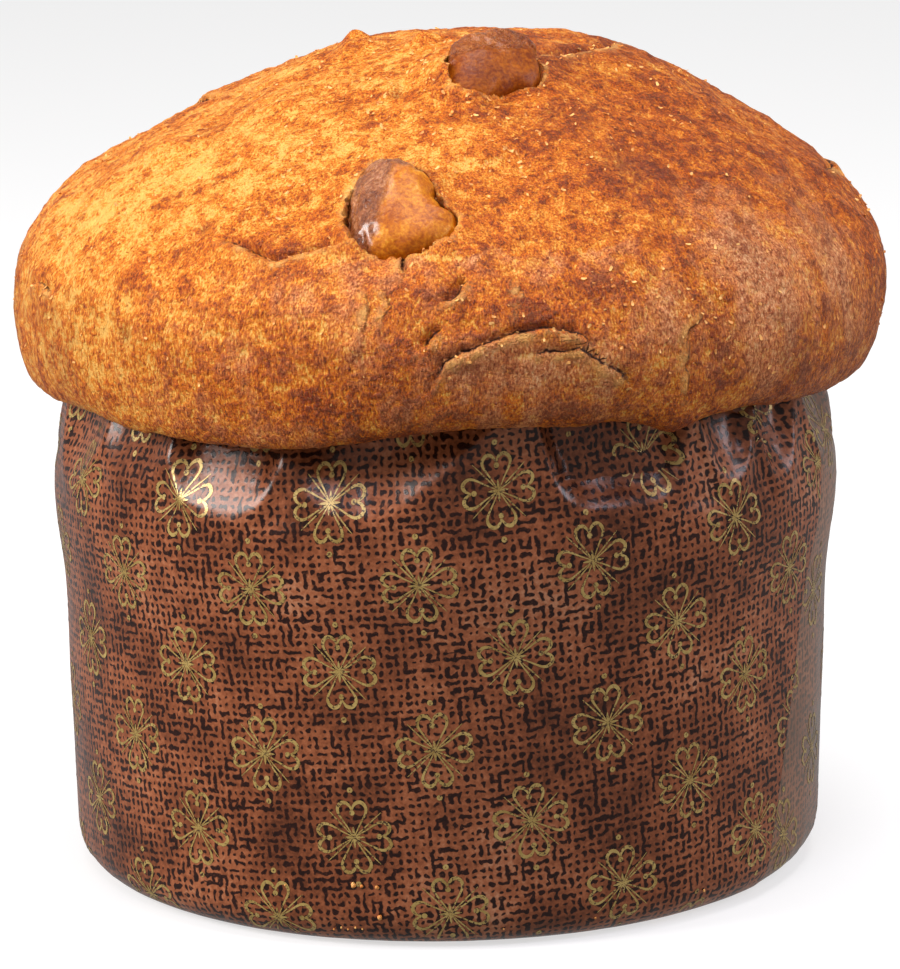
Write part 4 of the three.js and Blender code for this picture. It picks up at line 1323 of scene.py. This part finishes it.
def cloverTree():
    shaper = Shaper("clover_print", [
        ("Clover", "NodeSocketObject"), ("Wall", "NodeSocketObject"), ("Across", "NodeSocketFloat"),
        ("Up", "NodeSocketFloat"), ("Slant", "NodeSocketFloat"), ("Columns", "NodeSocketInt"),
        ("Rows", "NodeSocketInt"), ("Start", "NodeSocketVector"), ("Bow", "NodeSocketFloat"),
        ("Lean", "NodeSocketFloat"), ("Lift", "NodeSocketFloat"), ("Seam foot", "NodeSocketFloat"),
        ("Seam lean", "NodeSocketFloat"), ("Low", "NodeSocketFloat"), ("Material", "NodeSocketMaterial"),
    ])
    width = shaper.sum("MULTIPLY", shaper.given("Across"),
                       shaper.sum("SUBTRACT", shaper.given("Columns"), 1))
    tall = shaper.sum("MULTIPLY", shaper.given("Up"), shaper.sum("SUBTRACT", shaper.given("Rows"), 1))
    grid = shaper.add("GeometryNodeMeshGrid", {
        "Size X": width, "Size Y": tall, "Vertices X": shaper.given("Columns"),
        "Vertices Y": shaper.given("Rows"),
    }).outputs[0]
    half = shaper.add("ShaderNodeCombineXYZ", {
        0: shaper.sum("MULTIPLY", shaper.given("Across"), 0.5),
        1: shaper.sum("MULTIPLY", shaper.given("Up"), 0.5),
    }).outputs[0]
    between = shaper.add("GeometryNodeTransform", {"Geometry": grid, "Translation": half}).outputs[0]
    both = shaper.add("GeometryNodeJoinGeometry")
    shaper.tree.links.new(grid, both.inputs[0])
    shaper.tree.links.new(between, both.inputs[0])
    turned = shaper.add("ShaderNodeCombineXYZ", {2: shaper.given("Slant")}).outputs[0]
    laid = shaper.add("GeometryNodeTransform", {
        "Geometry": both.outputs[0], "Translation": shaper.given("Start"), "Rotation": turned,
    }).outputs[0]
    motif = shaper.add("GeometryNodeObjectInfo", {"Object": shaper.given("Clover")}).outputs["Geometry"]
    placed = shaper.add("GeometryNodeInstanceOnPoints", {"Points": laid, "Instance": motif}).outputs[0]
    real = shaper.add("GeometryNodeRealizeInstances", {0: placed}).outputs[0]
    spot = shaper.add("GeometryNodeInputPosition").outputs[0]
    parts = shaper.add("ShaderNodeSeparateXYZ", {0: spot})
    across, level = parts.outputs[0], parts.outputs[1]
    (foot, footWide), (low, lowWide), (high, highWide), (top, topWide) = clover["sheet"]
    lower = shaper.span(level, foot * metre, low * metre, footWide * metre, lowWide * metre)
    upper = shaper.span(level, high * metre, top * metre, 0.0, (topWide - highWide) * metre)
    angle = shaper.sum("DIVIDE", across, shaper.sum("ADD", lower, upper))
    bowed = shaper.sum("MULTIPLY", shaper.given("Bow"), shaper.sum("MULTIPLY", angle, angle))
    height = shaper.sum("ADD", level, bowed)
    # What lies past the seam, or below the foot or above the paper's edge, isn't printed.
    leaning = shaper.sum("MULTIPLY", shaper.given("Seam lean"), height)
    seam = shaper.sum("ADD", shaper.given("Seam foot"), leaning)
    past = shaper.sum("GREATER_THAN", angle, seam)
    short = shaper.sum("LESS_THAN", angle, shaper.sum("SUBTRACT", seam, turn))
    under = shaper.sum("LESS_THAN", height, shaper.given("Low"))
    over = shaper.sum("GREATER_THAN", height, (case["height"] - clover["edge"]) * metre)
    cut = shaper.sum("MAXIMUM", shaper.sum("MAXIMUM", past, short), shaper.sum("MAXIMUM", under, over))
    kept = shaper.add("GeometryNodeDeleteGeometry", {
        "Geometry": real, "Selection": cut,
    }, domain="FACE").outputs[0]
    sine, cosine = shaper.sum("SINE", angle), shaper.sum("COSINE", angle)
    middle = shaper.sum("MULTIPLY", shaper.given("Lean"), height)
    far = clover["castFrom"] * metre
    start = shaper.add("ShaderNodeCombineXYZ", {
        0: shaper.sum("ADD", middle, shaper.sum("MULTIPLY", sine, far)),
        1: shaper.sum("MULTIPLY", cosine, -far), 2: height,
    }).outputs[0]
    inward = shaper.add("ShaderNodeCombineXYZ", {
        0: shaper.sum("MULTIPLY", sine, -1.0), 1: cosine, 2: 0.0,
    }).outputs[0]
    paper = shaper.add("GeometryNodeObjectInfo", {"Object": shaper.given("Wall")}).outputs["Geometry"]
    hit = shaper.add("GeometryNodeRaycast", {
        "Target Geometry": paper, "Source Position": start, "Ray Direction": inward,
        "Ray Length": clover["castReach"] * metre,
    })
    raised = shaper.add("ShaderNodeVectorMath", {0: hit.outputs["Hit Normal"]}, operation="SCALE")
    shaper.tree.links.new(shaper.given("Lift"), raised.inputs["Scale"])
    put = shaper.add("ShaderNodeVectorMath", {
        0: hit.outputs["Hit Position"], 1: raised.outputs[0],
    }, operation="ADD")
    wrapped = shaper.add("GeometryNodeSetPosition",
                         {"Geometry": kept, "Position": put.outputs[0]}).outputs[0]
    shaper.finish(wrapped)
    return shaper


def goldMaterial():
    nodes = Nodes("gold_ink")
    place = nodes.ownPlace()
    worn = nodes.noise(place, 1500, 3, 0.7)
    cloud = nodes.noise(place, 300, 2)
    gold = nodes.ramp(cloud, [(0.3, paint(166, 134, 66)), (0.7, paint(202, 172, 100))])
    colour = nodes.blend(nodes.spread(worn, 0.52, 0.62), gold, paint(64, 36, 20))
    nodes.join(colour, nodes.skin, "Base Color")
    nodes.even({"Metallic": 0.35, "Specular IOR Level": 0.8, "Roughness": 0.34})
    nodes.join(nodes.bumpFrom(worn, 0.03, 0.6), nodes.skin, "Normal")
    return nodes.material


cloverSource = addObject("clover_source", cloverMesh())
shift = clover["shifted"] * clover["across"]
cloverSlant = math.radians(clover["slant"])
cloverStart = np.array([
    clover["startX"] + shift * math.cos(cloverSlant), clover["startZ"] + shift * math.sin(cloverSlant), 0,
])
cloverPiece = cloverTree().run("gold_clovers", {
    "Clover": cloverSource, "Wall": wallPiece, "Across": clover["across"] * metre,
    "Up": clover["up"] * metre,
    "Slant": cloverSlant, "Columns": clover["columns"], "Rows": clover["rows"],
    "Start": (cloverStart * metre).tolist(), "Bow": clover["bow"] * metre,
    "Lean": case["lean"], "Lift": clover["lift"] * metre, "Seam foot": math.radians(case["seamFoot"]),
    "Seam lean": math.radians(case["seamLean"]) / metre, "Low": 2 * metre, "Material": goldMaterial(),
})
bpy.data.objects.remove(cloverSource)
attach(cloverPiece, "root")
print("clovers made:", len(cloverPiece.data.polygons), "faces")


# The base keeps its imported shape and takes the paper's material.
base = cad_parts["case_base"]
base.data.materials.clear()
base.data.materials.append(printedPaper)


room = {
    "floorHalf": 6, "floorGrey": 0.4, "floorGlow": 0.62, "around": 0.36,
    # Lights, in metres and watts: place, aim, size, power, colour.
    "lights": {
        "front_bank": ((-0.2, -0.8, 1.0), (0, 0, 0.1), (0.45, 0.26), 3.4, (0.88, 0.86, 1.0)),
        "left_key": ((-1.0, -0.32, 0.62), (0, 0, 0.1), (0.5, 0.5), 13.6, (1.0, 0.96, 0.93)),
        "top_light": ((0.1, -0.05, 1.3), (0, 0, 0.15), (0.6, 0.6), 10.5, (1.0, 0.98, 0.95)),
        "right_rim": ((1.0, -0.1, 0.5), (0, 0, 0.13), (0.4, 0.4), 3.4, (0.93, 0.9, 1.0)),
        "right_bank": ((0.72, -0.62, 1.05), (0, 0, 0.1), (0.3, 0.24), 2.2, (0.88, 0.84, 1.0)),
    },
}


def addFloor():
    mesh = bpy.data.meshes.new("floor")
    half, grey = room["floorHalf"], room["floorGrey"]
    corners = [(-half, -half, 0), (half, -half, 0), (half, half, 0), (-half, half, 0)]
    mesh.from_pydata(corners, [], [(0, 1, 2, 3)])
    floor = addObject("floor", mesh)
    nodes = Nodes("plain_floor")
    nodes.even({
        "Base Color": (grey, grey, grey, 1), "Roughness": 0.9, "Emission Color": (1, 1, 1, 1),
        "Emission Strength": room["floorGlow"],
    })
    mesh.materials.append(nodes.material)
    floor.visible_diffuse = False    # the floor throws no light back up
    floor.visible_glossy = False


def addLight(name, place, aim, size, power, colour):
    data = bpy.data.lights.new(name, "AREA")
    data.shape = "RECTANGLE"
    data.size, data.size_y = size
    data.energy = power
    data.color = colour
    light = addObject(name, data)
    away = Vector(aim) - Vector(place)
    facing = away.to_track_quat("-Z", "Y").to_matrix().to_4x4()
    light.matrix_world = Matrix.Translation(Vector(place)) @ facing


addFloor()
for name, setting in room["lights"].items():
    addLight(name, *setting)
world = bpy.data.worlds.new("pale_room")
world.use_nodes = True
backdrop = world.node_tree.nodes["Background"]
backdrop.inputs["Color"].default_value = (1, 1, 1, 1)
backdrop.inputs["Strength"].default_value = room["around"]
bpy.context.scene.world = world
bpy.context.scene.view_settings.view_transform = "Standard"
print("lit")
